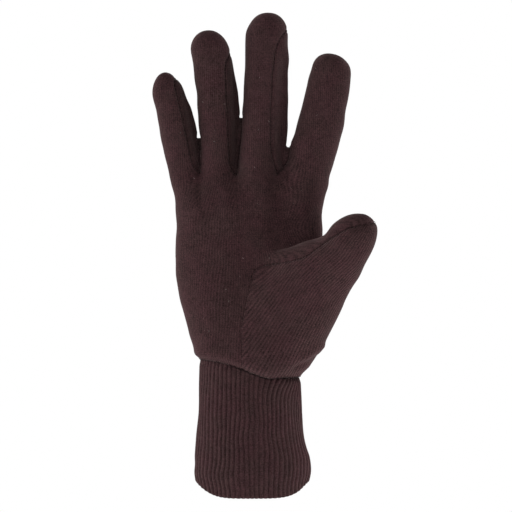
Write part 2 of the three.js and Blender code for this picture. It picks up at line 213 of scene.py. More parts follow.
@dataclass
class HandForm:
    """The outer form of the filled-out hand as a distance field, in millimetres."""

    cuff_length: float = 75
    palm_length: float = 102
    palm_width: float = 82
    palm_depth: float = 32
    palm_power: float = 2.6
    palm_dome: float = 12
    palm_top: float = 2
    thumb_rise: float = 76
    thumb_reach: float = 62
    thumb_forward: float = 34
    thumb_width: float = 27
    thumb_depth: float = 24
    thumb_dome: float = 0.2
    thumb_end: float = 1.035
    thumb_power: float = 2.2
    thumb_base: tuple[float, float, float] = (0.14, -0.03, 0)
    thumb_tip: tuple[float, float, float] = (0.99, -0.99, 1.02)
    web_start: tuple[float, float, float] = (0.1, -0.29, 0.7)
    web_end: tuple[float, float, float] = (0.52, -0.56, 0.77)
    web_radius: float = 4.8
    web_blend: float = 5
    finger_curl: float = 5
    foot_start: float = -0.28
    foot_end: float = 0.35
    foot_dome: float = 12
    finger_power: float = 2.15
    finger_depth_share: float = 0.9
    web_fillet: float = 5
    web_fade: float = 11
    touch_web: float = 6
    touch_free: float = 0.3
    recess_ramp: tuple[float, float] = (-0.3, 6)
    recess_root: float = 1.5
    recess_loss: float = 0.8
    recess_front: float = 4
    recess_start: tuple[float, float] = (-0.03, 0.06)
    recess_fade: float = 0.3
    pinch_gap: tuple[float, float] = (2, 9)
    pinch_top: tuple[float, float] = (-4, 5)
    pinch_bottom: tuple[float, float] = (-16, -8)
    thumb_fillet_low: float = 16
    thumb_fillet_high: float = 2
    fillet_slope: float = 0.15
    fillet_span: tuple[float, float] = (-66, -50)

    palm_sections = Table(
        "height left right front back",
        (-0.24, 0.70, 0.66, 1.27, 1.27),
        (-0.09, 0.71, 0.67, 1.28, 1.28),
        (0.0, 0.76, 0.74, 1.27, 1.25),
        (0.1, 0.81, 0.81, 1.18, 1.16),
        (0.21, 0.88, 0.85, 1.08, 1.06),
        (0.31, 0.96, 0.89, 1.03, 1.0),
        (0.42, 1.01, 0.92, 1.0, 0.97),
        (0.54, 1.03, 0.94, 0.98, 0.95),
        (0.7, 1.01, 0.94, 0.92, 0.9),
        (0.82, 1.02, 0.945, 0.82, 0.82),
        (0.91, 1.01, 0.98, 0.68, 0.7),
        (0.98, 1.02, 1.03, 0.52, 0.54),
        (1.02, 0.98, 1.0, 0.4, 0.42),
    )
    palm_dents = Table(
        "across height wide tall rise",
        (0.5, 0.69, 0.17, 0.13, -0.3),
        (-0.1, 0.45, 0.14, 0.28, -0.12),
        (-0.78, 0.78, 0.09, 0.14, 0.1),
        (-0.32, 0.84, 0.08, 0.1, 0.1),
        (0.16, 0.86, 0.08, 0.1, 0.1),
        (0.68, 0.88, 0.09, 0.1, 0.1),
        (-0.6, 0.3, 0.14, 0.22, 0.12),
    )
    finger_sections = Table(
        "along size",
        (-0.4, 0.6),
        (-0.15, 0.8),
        (0.0, 0.95),
        (0.15, 1.0),
        (0.35, 1.02),
        (0.6, 1.0),
        (1.0, 1.0),
    )
    gusset_seam = Table(
        "along out",
        (0.0, 0.95),
        (0.05, 0.5),
        (0.12, 0.24),
        (0.25, 0.06),
        (0.6, 0.0),
        (0.8, 0.15),
        (0.92, 0.5),
        (1.0, 1.05),
        (1.2, 1.8),
    )
    thumb_sections = Table(
        "height across forward width depth",
        (-0.12, 0.03, 0.0, 0.85, 1.0),
        (0.03, 0.14, 0.05, 1.28, 1.36),
        (0.21, 0.265, 0.12, 1.54, 1.34),
        (0.39, 0.4, 0.24, 1.63, 1.26),
        (0.55, 0.52, 0.38, 1.51, 1.18),
        (0.69, 0.68, 0.56, 1.27, 1.1),
        (0.79, 0.805, 0.71, 1.01, 1.05),
        (0.88, 0.88, 0.83, 0.96, 1.0),
        (1.02, 1.02, 0.99, 0.9, 0.95),
    )

    @property
    def crotch(self) -> float:
        """The height of the finger crotches."""
        return self.cuff_length + self.palm_length

    @property
    def thumb_sizes(self) -> np.ndarray:
        """The lengths that places on the thumb are shares of: across, forward and up."""
        return np.array([self.thumb_reach, self.thumb_forward, self.thumb_rise])

    def palm_field(self, x: np.ndarray, y: np.ndarray, z: np.ndarray) -> np.ndarray:
        """Return distances to the palm without fingers or thumb.

        Args:
            x: The places' distances across.
            y: Their distances back.
            z: Their heights.

        Returns:
            The distances, below zero inside.
        """
        height = (z - self.cuff_length) / self.palm_length
        side, depth = self.palm_width / 2, self.palm_depth / 2
        left, right, front, back = (
            self.palm_sections.curve(name, height) for name in ("left", "right", "front", "back")
        )
        top = self.crotch + self.palm_top - self.palm_dome
        axes = [
            (x - (right - left) / 2 * side, (right + left) / 2 * side),
            (y - (back - front) / 2 * depth, (back + front) / 2 * depth),
            (np.maximum(z - top, 0), self.palm_dome),
        ]
        return round_distance(axes, self.palm_power)

    def finger_frame(
        self, finger: Finger, x: np.ndarray, y: np.ndarray, z: np.ndarray
    ) -> tuple[np.ndarray, np.ndarray, np.ndarray]:
        """Turn places into a finger's own frame.

        Args:
            finger: The finger.
            x: Places across the hand.
            y: Places out of the back.
            z: Heights.

        Returns:
            The share along the finger, the distance across it and the distance to its back.
        """
        lean = math.radians(finger.lean)
        root = finger.root * self.palm_width / 2
        along = ((x - root) * math.sin(lean) + (z - self.crotch) * math.cos(lean)) / finger.length
        held = np.clip(along, 0, 1)
        bow = 4 * held * (1 - held) * finger.bend * self.palm_width / 2
        across = (x - root) * math.cos(lean) - (z - self.crotch) * math.sin(lean) - bow
        return along, across, y + self.finger_curl * held**2

    def finger_half_width(self, finger: Finger, along: np.ndarray) -> np.ndarray:
        """Return a finger's half width at shares of its length, without its domed end.

        Args:
            finger: The finger.
            along: Shares of its length.

        Returns:
            The half widths.
        """
        foot = finger.foot + (1 - finger.foot) * np.clip(along / self.foot_end, 0, 1)
        taper = 1 - finger.taper * np.clip((along - self.foot_end) / (1 - self.foot_end), 0, 1) ** 2
        return self.finger_sections.curve("size", along) * foot * taper * finger.width / 2

    def seam_share(self, finger: Finger, along: np.ndarray) -> np.ndarray:
        """Return where the seam of a finger's side piece lies, as shares of the half width."""
        out = self.gusset_seam.curve("out", along / finger.seam_top)
        return finger.seam + (1 - finger.seam) * out

    def finger_field(self, finger: Finger, x: np.ndarray, y: np.ndarray, z: np.ndarray) -> np.ndarray:
        """Return distances to one finger.

        Args:
            finger: The finger.
            x: The places' distances across.
            y: Their distances back.
            z: Their heights.

        Returns:
            The distances, below zero inside.
        """
        along, across, back = self.finger_frame(finger, x, y, z)
        half = self.finger_half_width(finger, along)
        end = np.maximum((along - 1) * finger.length + finger.dome, 0)
        across = across - finger.skew * (end / finger.dome) ** 2
        start = np.maximum(self.foot_start * finger.length - along * finger.length, 0)
        reach = np.where(end > 0, finger.dome, self.foot_dome)
        past_seam = across - self.seam_share(finger, along) * half
        recess = finger.recess * smooth_step(past_seam, *self.recess_ramp)
        recess = recess * (self.recess_root - self.recess_loss * along)
        recess = recess * smooth_step(-back, 0, self.recess_front) * smooth_step(along, *self.recess_start)
        recess = recess * smooth_step(-along, -finger.seam_top, self.recess_fade - finger.seam_top)
        deep = half * self.finger_depth_share
        axes = [(across, half), (back - recess, deep), (end + start, reach)]
        return round_distance(axes, self.finger_power)

    def thumb_frame(
        self, x: np.ndarray, y: np.ndarray, z: np.ndarray
    ) -> tuple[np.ndarray, np.ndarray, np.ndarray]:
        """Turn places into the thumb's own frame.

        Args:
            x: The places' distances across.
            y: Their distances back.
            z: Their heights.

        Returns:
            The share along the thumb, the distance across it and the distance to its back.
        """
        foot = np.array([0, 0, self.cuff_length])
        base = np.array(self.thumb_base) * self.thumb_sizes + foot
        tip = np.array(self.thumb_tip) * self.thumb_sizes + foot
        length = np.linalg.norm(tip - base)
        along = (tip - base) / length
        side = np.cross([0, 1, 0], along)
        side /= np.linalg.norm(side)
        back = np.cross(along, side)
        places = (x - base[0], y - base[1], z - base[2])
        share = sum(p * a for p, a in zip(places, along)) / length
        height = share * (tip[2] - base[2]) / self.thumb_rise
        centre = [
            self.thumb_sections.curve("across", height) * self.thumb_reach - base[0],
            -self.thumb_sections.curve("forward", height) * self.thumb_forward - base[1],
            height * self.thumb_rise,
        ]
        across = sum((p - c) * s for p, c, s in zip(places, centre, side))
        depth = sum((p - c) * s for p, c, s in zip(places, centre, back))
        return height, across, depth

    def thumb_half_sizes(self, height: np.ndarray) -> tuple[np.ndarray, np.ndarray]:
        """Return the thumb's half width and half depth at shares of its height.

        Args:
            height: Shares of the thumb's height.

        Returns:
            The half widths and half depths.
        """
        half = self.thumb_sections.curve("width", height) * self.thumb_width / 2
        deep = self.thumb_sections.curve("depth", height) * self.thumb_depth / 2
        return half, deep

    def thumb_field(self, x: np.ndarray, y: np.ndarray, z: np.ndarray) -> np.ndarray:
        """Return distances to the thumb.

        Args:
            x: The places' distances across.
            y: Their distances back.
            z: Their heights.

        Returns:
            The distances, below zero inside.
        """
        height, across, depth = self.thumb_frame(x, y, z)
        half, deep = self.thumb_half_sizes(height)
        length = math.hypot(*self.thumb_sizes)
        dome = self.thumb_dome * length
        end = np.maximum((height - self.thumb_end + self.thumb_dome) * length, 0)
        start = np.maximum(-height * length, 0)
        return round_distance([(across, half), (depth, deep), (end + start, dome)], self.thumb_power)

    def thumb_web_field(self, x: np.ndarray, y: np.ndarray, z: np.ndarray) -> np.ndarray:
        """Return distances to the fold of cloth that joins the top of the thumb's root to the palm.

        Args:
            x: The places' distances across.
            y: Their distances back.
            z: Their heights.

        Returns:
            The distances, below zero inside.
        """
        start, end = (np.array(place) * self.thumb_sizes for place in (self.web_start, self.web_end))
        way = end - start
        places = (x - start[0], y - start[1], z - self.cuff_length - start[2])
        share = np.clip(sum(place * part for place, part in zip(places, way)) / (way @ way), 0, 1)
        away = sum((place - share * part) ** 2 for place, part in zip(places, way))
        return np.sqrt(away) - self.web_radius

    def dent_rise(self, x: np.ndarray, y: np.ndarray, z: np.ndarray) -> np.ndarray:
        """Return how far the palm's front stands out or in at each place.

        Args:
            x: The places' distances across.
            y: Their distances back.
            z: Their heights.

        Returns:
            The distances, above zero where the front stands out.
        """
        rise = 0.0
        for across, height, wide, tall, amount in self.palm_dents.values.T:
            side = (x - across * self.palm_width / 2) / (wide * self.palm_width)
            up = (z - self.cuff_length - height * self.palm_length) / (tall * self.palm_length)
            rise = rise + amount * self.palm_depth / 2 * np.exp(-(side**2) - up**2)
        return rise * smooth_step(-y, 0, self.palm_depth / 4)

    def field(self, x: np.ndarray, y: np.ndarray, z: np.ndarray) -> np.ndarray:
        """Return distances to the whole hand.

        Args:
            x: The places' distances across.
            y: Their distances back.
            z: Their heights.

        Returns:
            The distances, below zero inside.
        """
        fingers = self.finger_field(FINGERS[0], x, y, z)
        for finger, following in zip(FINGERS, FINGERS[1:]):
            rise = z - self.crotch - finger.web
            touch = 1 - smooth_step(rise, -self.web_fade, 0)
            touch = self.touch_free + (self.touch_web - self.touch_free) * touch
            other = self.finger_field(following, x, y, z)
            near = 1 - smooth_step(np.abs(fingers - other), *self.pinch_gap)
            near = near * smooth_step(-rise, *self.pinch_top) * smooth_step(rise, *self.pinch_bottom)
            own, next_one = finger.pinch
            fingers = smooth_union(fingers - own * near, other - next_one * near, touch)
        palm = self.palm_field(x, y, z) - self.dent_rise(x, y, z)
        hand = smooth_union(palm, fingers, self.web_fillet)
        start, end = self.fillet_span
        share = smooth_step(z - self.fillet_slope * x, self.crotch + start, self.crotch + end)
        fillet = self.thumb_fillet_low + (self.thumb_fillet_high - self.thumb_fillet_low) * share
        thumb = smooth_union(self.thumb_field(x, y, z), self.thumb_web_field(x, y, z), self.web_blend)
        return smooth_union(hand, thumb, fillet)


def sample_field(field: np.ndarray, places: np.ndarray) -> tuple[np.ndarray, np.ndarray]:
    """Read a block of samples between its points.

    Args:
        field: The block.
        places: Points in steps from the block's low corner.

    Returns:
        The value and the slope at each point.
    """
    limit = np.array(field.shape) - 2
    cell = np.clip(np.floor(places).astype(int), 0, limit)
    t = places - cell
    value = np.zeros(len(places))
    slope = np.zeros((len(places), 3))
    for corner in np.ndindex(2, 2, 2):
        corner_value = field[tuple((cell + corner).T)]
        weights = np.where(np.array(corner), t, 1 - t)
        signs = np.where(np.array(corner), 1.0, -1.0)
        value += corner_value * weights.prod(axis=1)
        for axis in range(3):
            others = [other for other in range(3) if other != axis]
            slope[:, axis] += corner_value * signs[axis] * weights[:, others].prod(axis=1)
    return value, slope


def skin_of(field: np.ndarray, low: np.ndarray, steps: np.ndarray) -> tuple[np.ndarray, np.ndarray]:
    """Lay a net of quads over the level zero of a block of samples.

    Args:
        field: Distances, below zero inside.
        low: The block's low corner.
        steps: The distance between samples along each axis.

    Returns:
        The points in the block's units and the quads, facing out.
    """
    inside = field < 0
    shape = np.array(field.shape)
    cells, places = [], []
    for axis in range(3):
        near = [slice(None)] * 3
        far = [slice(None)] * 3
        near[axis] = slice(None, -1)
        far[axis] = slice(1, None)
        crossing = np.argwhere(inside[tuple(near)] != inside[tuple(far)])
        unit = np.eye(3, dtype=int)
        first = field[tuple(crossing.T)]
        second = field[tuple((crossing + unit[axis]).T)]
        place = crossing + (first / (first - second))[:, None] * unit[axis]
        one, two = unit[(axis + 1) % 3], unit[(axis + 2) % 3]
        around = np.stack([crossing, crossing - one, crossing - one - two, crossing - two], axis=1)
        turned = inside[tuple(crossing.T)]
        around[~turned] = around[~turned][:, ::-1]
        cells.append(around)
        places.append(place)
    around = np.concatenate(cells)
    place = np.concatenate(places)
    within = (around >= 0).all(axis=(1, 2))
    around, place = around[within], place[within]
    flat = np.ravel_multi_index(tuple(around.reshape(-1, 3).T), tuple(shape))
    _, corner = np.unique(flat, return_inverse=True)
    corner = corner.reshape(-1, 4)
    count = np.bincount(corner.ravel())
    points = np.stack(
        [np.bincount(corner.ravel(), weights=np.repeat(place[:, axis], 4)) / count for axis in range(3)],
        axis=1,
    )
    for _ in range(SKIN_PASSES):
        points = relaxed(points, corner)
        value, slope = sample_field(field, points)
        steep = np.maximum((slope**2).sum(axis=1), 1e-6)
        points = points - slope * np.clip(value / steep, -1, 1)[:, None]
    return points * steps + low, corner


def relaxed(points: np.ndarray, quads: np.ndarray, share: float = 0.5) -> np.ndarray:
    """Move each point part of the way to the middle of its neighbours.

    Args:
        points: The net's points.
        quads: Its quads.
        share: How much of the way a point moves.

    Returns:
        The moved points.
    """
    total = np.zeros_like(points)
    count = np.zeros(len(points))
    for side in range(4):
        start, end = quads[:, side], quads[:, (side + 1) % 4]
        for one, other in ((start, end), (end, start)):
            for axis in range(3):
                total[:, axis] += np.bincount(one, weights=points[other, axis], minlength=len(points))
            count += np.bincount(one, minlength=len(points))
    middle = total / np.maximum(count, 1)[:, None]
    return points + (middle - points) * share


def point_normals(points: np.ndarray, quads: np.ndarray) -> np.ndarray:
    """Return the unit normal at each point of a net of quads.

    Args:
        points: The net's points.
        quads: Its quads.

    Returns:
        One unit vector for each point.
    """
    corners = points[quads]
    faces = np.cross(corners[:, 2] - corners[:, 0], corners[:, 3] - corners[:, 1])
    totals = [
        np.bincount(quads.ravel(), weights=np.repeat(part, 4), minlength=len(points)) for part in faces.T
    ]
    normals = np.stack(totals, axis=1)
    return normals / np.maximum(np.linalg.norm(normals, axis=1), 1e-9)[:, None]


@dataclass
class SeamLine:
    """A sewn line in the front view, as a smooth line through a few points in millimetres."""

    points: np.ndarray
    closed: bool = False
    pieces: int = 8

    def smooth(self) -> np.ndarray:
        """Return the line through its points with rounded turns.

        Returns:
            The rounded line.
        """
        if self.closed:
            return self.points
        key = np.arange(len(self.points), dtype=float)
        table = Table("key x z", *zip(key, *self.points.T))
        at = np.linspace(0, key[-1], self.pieces * (len(key) - 1) + 1)
        return np.stack([table.curve("x", at), table.curve("z", at)], axis=1)

    def distance(self, x: np.ndarray, z: np.ndarray) -> np.ndarray:
        """Return the distance to the line of each place in the front view.

        Args:
            x: The places' distances across.
            z: Their heights.

        Returns:
            One distance for each place.
        """
        line = self.smooth()
        nearest = np.full(len(x), np.inf)
        for (x0, z0), (x1, z1) in zip(line[:-1], line[1:]):
            length = max((x1 - x0) ** 2 + (z1 - z0) ** 2, 1e-12)
            t = np.clip(((x - x0) * (x1 - x0) + (z - z0) * (z1 - z0)) / length, 0, 1)
            nearest = np.minimum(nearest, np.hypot(x - x0 - t * (x1 - x0), z - z0 - t * (z1 - z0)))
        return nearest

    def encloses(self, x: np.ndarray, z: np.ndarray, corners: list[tuple[float, float]]) -> np.ndarray:
        """Tell which places lie inside the outline that the line makes with some more corners.

        Args:
            x: The places' distances across.
            z: Their heights.
            corners: The outline's further corners, past the line's last point.

        Returns:
            Whether each place lies inside.
        """
        line = np.vstack([self.smooth(), np.array(corners, float).reshape(-1, 2)])
        inside = np.zeros(len(x), bool)
        for (x0, z0), (x1, z1) in zip(line, np.roll(line, -1, axis=0)):
            if z0 == z1:
                continue
            spans = (z0 > z) != (z1 > z)
            inside ^= spans & (x < x0 + (z - z0) * (x1 - x0) / (z1 - z0))
        return inside

    def signed(self, points: np.ndarray, corners: list[tuple[float, float]]) -> np.ndarray:
        """Return the distance to the line, above zero inside the outline that it makes.

        Args:
            points: Points in space, seen from the front.
            corners: The outline's further corners, past the line's last point.

        Returns:
            One distance for each point.
        """
        x, z = points[:, 0], points[:, 2]
        return np.where(self.encloses(x, z, corners), 1.0, -1.0) * self.distance(x, z)


@dataclass(frozen=True)
class SeamPath:
    """The points of all the seams, the edges between them and the way out of the cloth at each."""

    points: np.ndarray
    edges: np.ndarray
    out: np.ndarray


@dataclass
class SewnHand:
    """The jersey hand: its form, cut along its seams into panels that get walls and rolled edges."""

    form: HandForm
    block_low: tuple[float, float, float] = (-60, -50, 54)
    block_high: tuple[float, float, float] = (72, 28, 272)
    steps: tuple[float, float, float] = (0.65, 0.84, 0.84)
    beyond: float = 400
    wall: float = 1.7
    back_seam: float = 4
    cuff_slant: float = 10.4
    cuff_width: float = 60
    seam_depth: float = 0.55
    seam_reach: float = 1.5
    seam_slit: float = 0.45
    slit_reach: float = 0.5
    thread_rise: float = 0.3
    gusset_strength: float = 0.9
    back_strength: float = 0.4
    hem_depth: float = 2.4
    hem_depth_right: float = 2.7
    hem_reach: float = 2.2
    hem_reach_right: float = 6
    hem_turn: tuple[float, float] = (10, 28)
    # How strongly the colour darkens at the hem's seam: painted shade.
    hem_shade_strength: float = 1.8
    cuff_tuck: float = 0.8
    wave_sway: float = 1.3
    wave_stretch: float = 0.37
    wave_drift: float = 0.05
    fold_front: tuple[float, float] = (-2, 4)
    wale_turn: tuple[float, float] = (-0.3, 0.25)
    course_stretch: float = 1.3
    valley_end: float = 0.9

    thumb_seam = Table(
        "across height",
        (-0.09, -0.3),
        (-0.09, 0.06),
        (-0.09, 0.24),
        (-0.055, 0.4),
        (-0.02, 0.53),
        (0.005, 0.605),
        (0.02, 0.64),
        (0.053, 0.66),
        (0.106, 0.677),
        (0.25, 0.7),
        (0.37, 0.72),
        (0.48, 0.755),
        (0.62, 0.84),
        (0.72, 0.895),
        (0.81, 0.94),
        (0.92, 0.965),
        (1.02, 0.98),
        (1.3, 1.04),
    )
    thumb_strength = Table(
        "across strength",
        (-0.1, 0.3),
        (0.0, 0.3),
        (0.1, 0.6),
        (0.5, 0.7),
        (0.66, 0.8),
        (0.78, 1.1),
        (0.95, 0.9),
        (1.05, 0.5),
    )
    waves = Table(
        "to_x to_y to_z length height",
        (0.8, 0.3, 0.52, 17.0, 0.12),
        (-0.5, 0.2, 0.84, 23.0, 0.16),
        (0.2, 0.6, -0.77, 11.0, 0.06),
    )
    folds = Table(
        "across height to_across to_height wide rise",
        (-0.71, 1.0, -0.7, 0.86, 2.6, -1.0),
        (-0.23, 1.0, -0.22, 0.86, 3.0, -1.2),
        (0.35, 1.0, 0.33, 0.88, 3.0, -1.0),
        (0.85, 0.01, 0.6, -0.04, 2.0, -1.4),
        (0.92, 0.08, 0.72, 0.02, 2.4, 1.3),
    )
    cuff_seam = Table(
        "across drop",
        (-1.0, 0.0),
        (-0.55, 0.15),
        (-0.22, 0.47),
        (0.1, 0.8),
        (0.3, 0.96),
        (0.6, 0.96),
        (0.95, 1.0),
    )
    valley_steps = (-0.04, 0.06, 0.25, 0.5, 0.75, 1.0, 1.35)
    fork_tip = (0.0, 0.79)
    fork_seam = Table(
        "along out",
        (0.0, -1.12),
        (0.08, -1.0),
        (0.17, -1.08),
        (0.26, -1.12),
        (0.4, -1.35),
        (0.7, -1.5),
    )

    def cuff_seam_height(self, x: np.ndarray) -> np.ndarray:
        """Return the height of the seam that joins the hand to the cuff."""
        across = x / (self.cuff_width / 2)
        return self.form.cuff_length - self.cuff_slant * self.cuff_seam.curve("drop", across)

    def thumb_seam_line(self) -> SeamLine:
        """Return the seam round the thumb's panel.

        Returns:
            The seam in the front view.
        """
        across, height = self.thumb_seam.values
        x, z = across * self.form.thumb_reach, self.form.cuff_length + height * self.form.thumb_rise
        return SeamLine(np.stack([x, z], axis=1))

    def finger_edge(self, finger: Finger, along: float, out: float) -> tuple[float, float]:
        """Return a place on a finger in the front view.

        Args:
            finger: The finger.
            along: The share of its length above the crotch.
            out: The share of its half width towards the thumb.

        Returns:
            The place across the hand and its height.
        """
        form = self.form
        lean = math.radians(finger.lean)
        held = min(max(along, 0.0), 1.0)
        bow = 4 * held * (1 - held) * finger.bend * form.palm_width / 2
        dome = min(max(0.0, 1 + (along - 1) * finger.length / finger.dome), 1.0) if out < 1 else 0.0
        reach = out * float(form.finger_half_width(finger, np.array(along))) * math.sqrt(1 - dome**2)
        reach += bow
        rise = along * finger.length
        x = finger.root * form.palm_width / 2 + rise * math.sin(lean) + reach * math.cos(lean)
        return x, form.crotch + rise * math.cos(lean) - reach * math.sin(lean)

    def valley_line(self, finger: Finger, neighbour: Finger) -> list[tuple[float, float]]:
        """Return the line between two fingers that lie side by side, from the crotch up.

        Args:
            finger: The finger nearer the little finger.
            neighbour: The one beside it.

        Returns:
            The line's points, across and up.
        """
        shorter = min(finger.length, neighbour.length)
        line = []
        for step in self.valley_steps:
            rise = step * shorter
            own = self.finger_edge(finger, min(rise / finger.length, self.valley_end), 1)[0]
            following = self.finger_edge(neighbour, min(rise / neighbour.length, self.valley_end), -1)[0]
            line.append(((own + following) / 2, self.form.crotch + rise))
        return line

    def gusset_outline(self, index: int) -> SeamLine:
        """Return the closed outline of one gusset in the front view.

        Args:
            index: 0 for the little finger, 1 for the ring finger and 2 for the middle finger.

        Returns:
            The seam on the finger from its tip to the crotch, and the far edge back up.
        """
        finger, neighbour = FINGERS[index], FINGERS[index + 1]
        valley = self.valley_line(finger, neighbour)
        rows = self.form.gusset_seam.column("along")[::-1] * finger.seam_top
        shares = [float(self.form.seam_share(finger, along)) for along in rows]
        seam = [self.finger_edge(finger, along, share) for along, share in zip(rows, shares)]
        if GUSSETS[index] is Panel.MIDDLE_GUSSET:
            forks = [self.finger_edge(neighbour, *fork) for fork in self.fork_seam.values.T]
            valley = [self.finger_edge(finger, *self.fork_tip), *forks, valley[-1]]
            seam = seam[:-1]
        down, up = SeamLine(np.array([*seam, valley[0]])), SeamLine(np.array(valley))
        return SeamLine(np.vstack([down.smooth(), up.smooth()[1:]]), closed=True)

    def build(self) -> tuple[dict[Panel, bpy.types.Object], SeamPath]:
        """Model the hand, cut it along its seams and give each panel its wall and rolled edges.

        Returns:
            The panels' objects, and the path of the seams for their threads.
        """
        grid = Grid(self.block_low, self.block_high, self.steps)
        field = self.form.field(*grid.axes()).astype(np.float32)
        LOG.info("field of %s samples", field.size)
        points, quads = skin_of(field, np.array(self.block_low), np.array(self.steps))
        LOG.info("skin of %d quads", len(quads))
        points, quads, label = self.split(points, quads)
        normals = point_normals(points, quads)
        border, strength = self.seam_border(points, quads, label)
        distance, nearest = nearest_distance(points, points[border])
        rise = points[:, 2] - self.cuff_seam_height(points[:, 0])
        inset = self.inset(points, distance, strength[nearest], rise)
        raised = points - normals * (inset - self.thread_rise)[:, None]
        seams = SeamPath(raised[border], border_edges(quads, label, border), normals[border])
        # The seam and strength numbers set the painted shade along the seams and the hem in the material.
        values = {
            "seam": np.minimum(distance, np.abs(rise)) * MM,
            "strength": np.where(np.abs(rise) < distance, self.hem_shade_strength, strength[nearest]),
        }
        points = points - normals * inset[:, None]
        panels = {
            panel: self.panel_object(panel, points, quads[label == index], values)
            for index, panel in enumerate(Panel)
        }
        return panels, seams

    def split(self, points: np.ndarray, quads: np.ndarray) -> tuple[np.ndarray, np.ndarray, np.ndarray]:
        """Bring the skin's points onto the seams and share its quads out among the panels.

        Args:
            points: The skin's points.
            quads: Its quads.

        Returns:
            The moved points, the quads above the cuff, and the place of each one's panel.
        """
        edges = quad_edges(quads)
        sides = {}
        for index, panel in enumerate(GUSSETS):
            value = self.gusset_outline(index).signed(points, [])
            points, sides[panel] = snapped(points, edges, value)
        free = np.max(list(sides.values()), axis=0) <= 0
        points, back = snapped(points, edges, points[:, 1] - self.back_seam, free)
        line = self.thumb_seam_line()
        corners = [(self.beyond, line.points[-1][1]), (self.beyond, line.points[0][1])]
        points, thumb = snapped(points, edges, line.signed(points, corners), (back <= 0) & free)
        points, cuff = snapped(points, edges, points[:, 2] - self.cuff_seam_height(points[:, 0]))
        order = list(Panel)
        label = np.full(len(quads), order.index(Panel.PALM))
        for panel, side in {Panel.THUMB: thumb, Panel.BACK: back, **sides}.items():
            label[side[quads].sum(axis=1) > 0] = order.index(panel)
        kept = cuff[quads].sum(axis=1) > 0
        return points, quads[kept], label[kept]

    def inset(
        self, points: np.ndarray, distance: np.ndarray, strength: np.ndarray, rise: np.ndarray
    ) -> np.ndarray:
        """Return how far the cloth is drawn in at its seams and its hem.

        Args:
            points: The skin's points.
            distance: Each point's distance to the nearest seam between panels.
            strength: The share of the full depth that this seam has.
            rise: Each point's height above the cuff's seam.

        Returns:
            One distance for each point, less where a wave or fold stands out.
        """
        groove = self.seam_depth * np.exp(-((distance / self.seam_reach) ** 2))
        groove += self.seam_slit * np.exp(-((distance / self.slit_reach) ** 2))
        right = smooth_step(points[:, 0], *self.hem_turn)
        reach = self.hem_reach + (self.hem_reach_right - self.hem_reach) * right
        depth = self.hem_depth + (self.hem_depth_right - self.hem_depth) * right
        return groove * strength + depth * np.exp(-((rise / reach) ** 2)) - self.unevenness(points)

    def panel_object(
        self, panel: Panel, points: np.ndarray, quads: np.ndarray, values: dict[str, np.ndarray]
    ) -> bpy.types.Object:
        """Make one panel's object, with its wall inside the skin.

        Args:
            panel: The panel.
            points: The points of the whole hand.
            quads: The panel's quads.
            values: Numbers at the hand's points to keep on the panel, by name.

        Returns:
            The panel's object.
        """
        used, faces = np.unique(quads, return_inverse=True)
        attributes = {name: value[used] for name, value in values.items()}
        attributes["wale"] = self.wale(points[used], panel) * MM
        attributes["course"] = self.course(points[used], panel) * MM
        obj = mesh_object(f"{panel.value}_cloth", points[used] * MM, faces.reshape(-1, 4), attributes)
        solid = obj.modifiers.new("wall", "SOLIDIFY")
        solid.thickness = self.wall * MM
        solid.offset = -1
        solid.use_rim = True
        LOG.info("%s: %d quads", panel.value, len(quads))
        return obj

    def seam_border(
        self, points: np.ndarray, quads: np.ndarray, label: np.ndarray
    ) -> tuple[np.ndarray, np.ndarray]:
        """Find the points on the seams between the panels and how far each seam is drawn in.

        Args:
            points: The net's points.
            quads: Its quads.
            label: Each quad's panel, by its place among the panels.

        Returns:
            The points, and for each one the share of the full depth that its seam has.
        """
        low, high = label_range(quads, label, len(points))
        chosen = np.nonzero((high >= 0) & (low != high))[0]
        low, high = low[chosen], high[chosen]
        order = list(Panel)
        thumb = self.thumb_strength.curve("strength", points[chosen, 0] / self.form.thumb_reach)
        strength = np.where(high == order.index(Panel.THUMB), thumb, self.gusset_strength)
        back = order.index(Panel.BACK)
        return chosen, np.where((low == back) | (high == back), self.back_strength, strength)

    def unevenness(self, points: np.ndarray) -> np.ndarray:
        """Return how far the soft cloth stands out in low waves and in its folds.

        Args:
            points: The skin's points.

        Returns:
            One distance for each point.
        """
        x, y, z = points.T
        waves = np.zeros(len(points))
        for *direction, length, height in self.waves.values.T:
            phase = points @ np.array(direction) / (length / (2 * math.pi))
            sway = np.sin(phase * self.wave_stretch + z * self.wave_drift)
            waves += height * np.sin(phase + self.wave_sway * sway)
        front = smooth_step(-y, *self.fold_front)
        form = self.form
        for across, height, to_across, to_height, wide, rise in self.folds.values.T:
            start = (across * form.palm_width / 2, form.cuff_length + height * form.palm_length)
            end = (to_across * form.palm_width / 2, form.cuff_length + to_height * form.palm_length)
            line = SeamLine(np.array([start, end]), closed=True)
            waves += front * rise * np.exp(-((line.distance(x, z) / wide) ** 2))
        return waves

    def wale(self, points: np.ndarray, panel: Panel) -> np.ndarray:
        """Return the distance across the knit's wales at each point of a panel.

        Args:
            points: The panel's points.
            panel: The panel.

        Returns:
            One distance for each point.
        """
        x, y, z = points.T
        if panel is Panel.THUMB:
            height, across, depth = self.form.thumb_frame(x, y, z)
            half, deep = self.form.thumb_half_sizes(height)
            return quarter_arc(across, depth, half, deep)
        form = self.form
        result = quarter_arc(x, y, form.palm_width / 2, form.palm_depth / 2)
        nearest = np.argmin([form.finger_field(finger, x, y, z) for finger in FINGERS], axis=0)
        for index, finger in enumerate(FINGERS):
            along, across, back = form.finger_frame(finger, x, y, z)
            share = smooth_step(along, *self.wale_turn) * (nearest == index)
            half = finger.width / 2
            own = x + quarter_arc(across, back, half, half) - across
            result = result + (own - result) * share
        return result

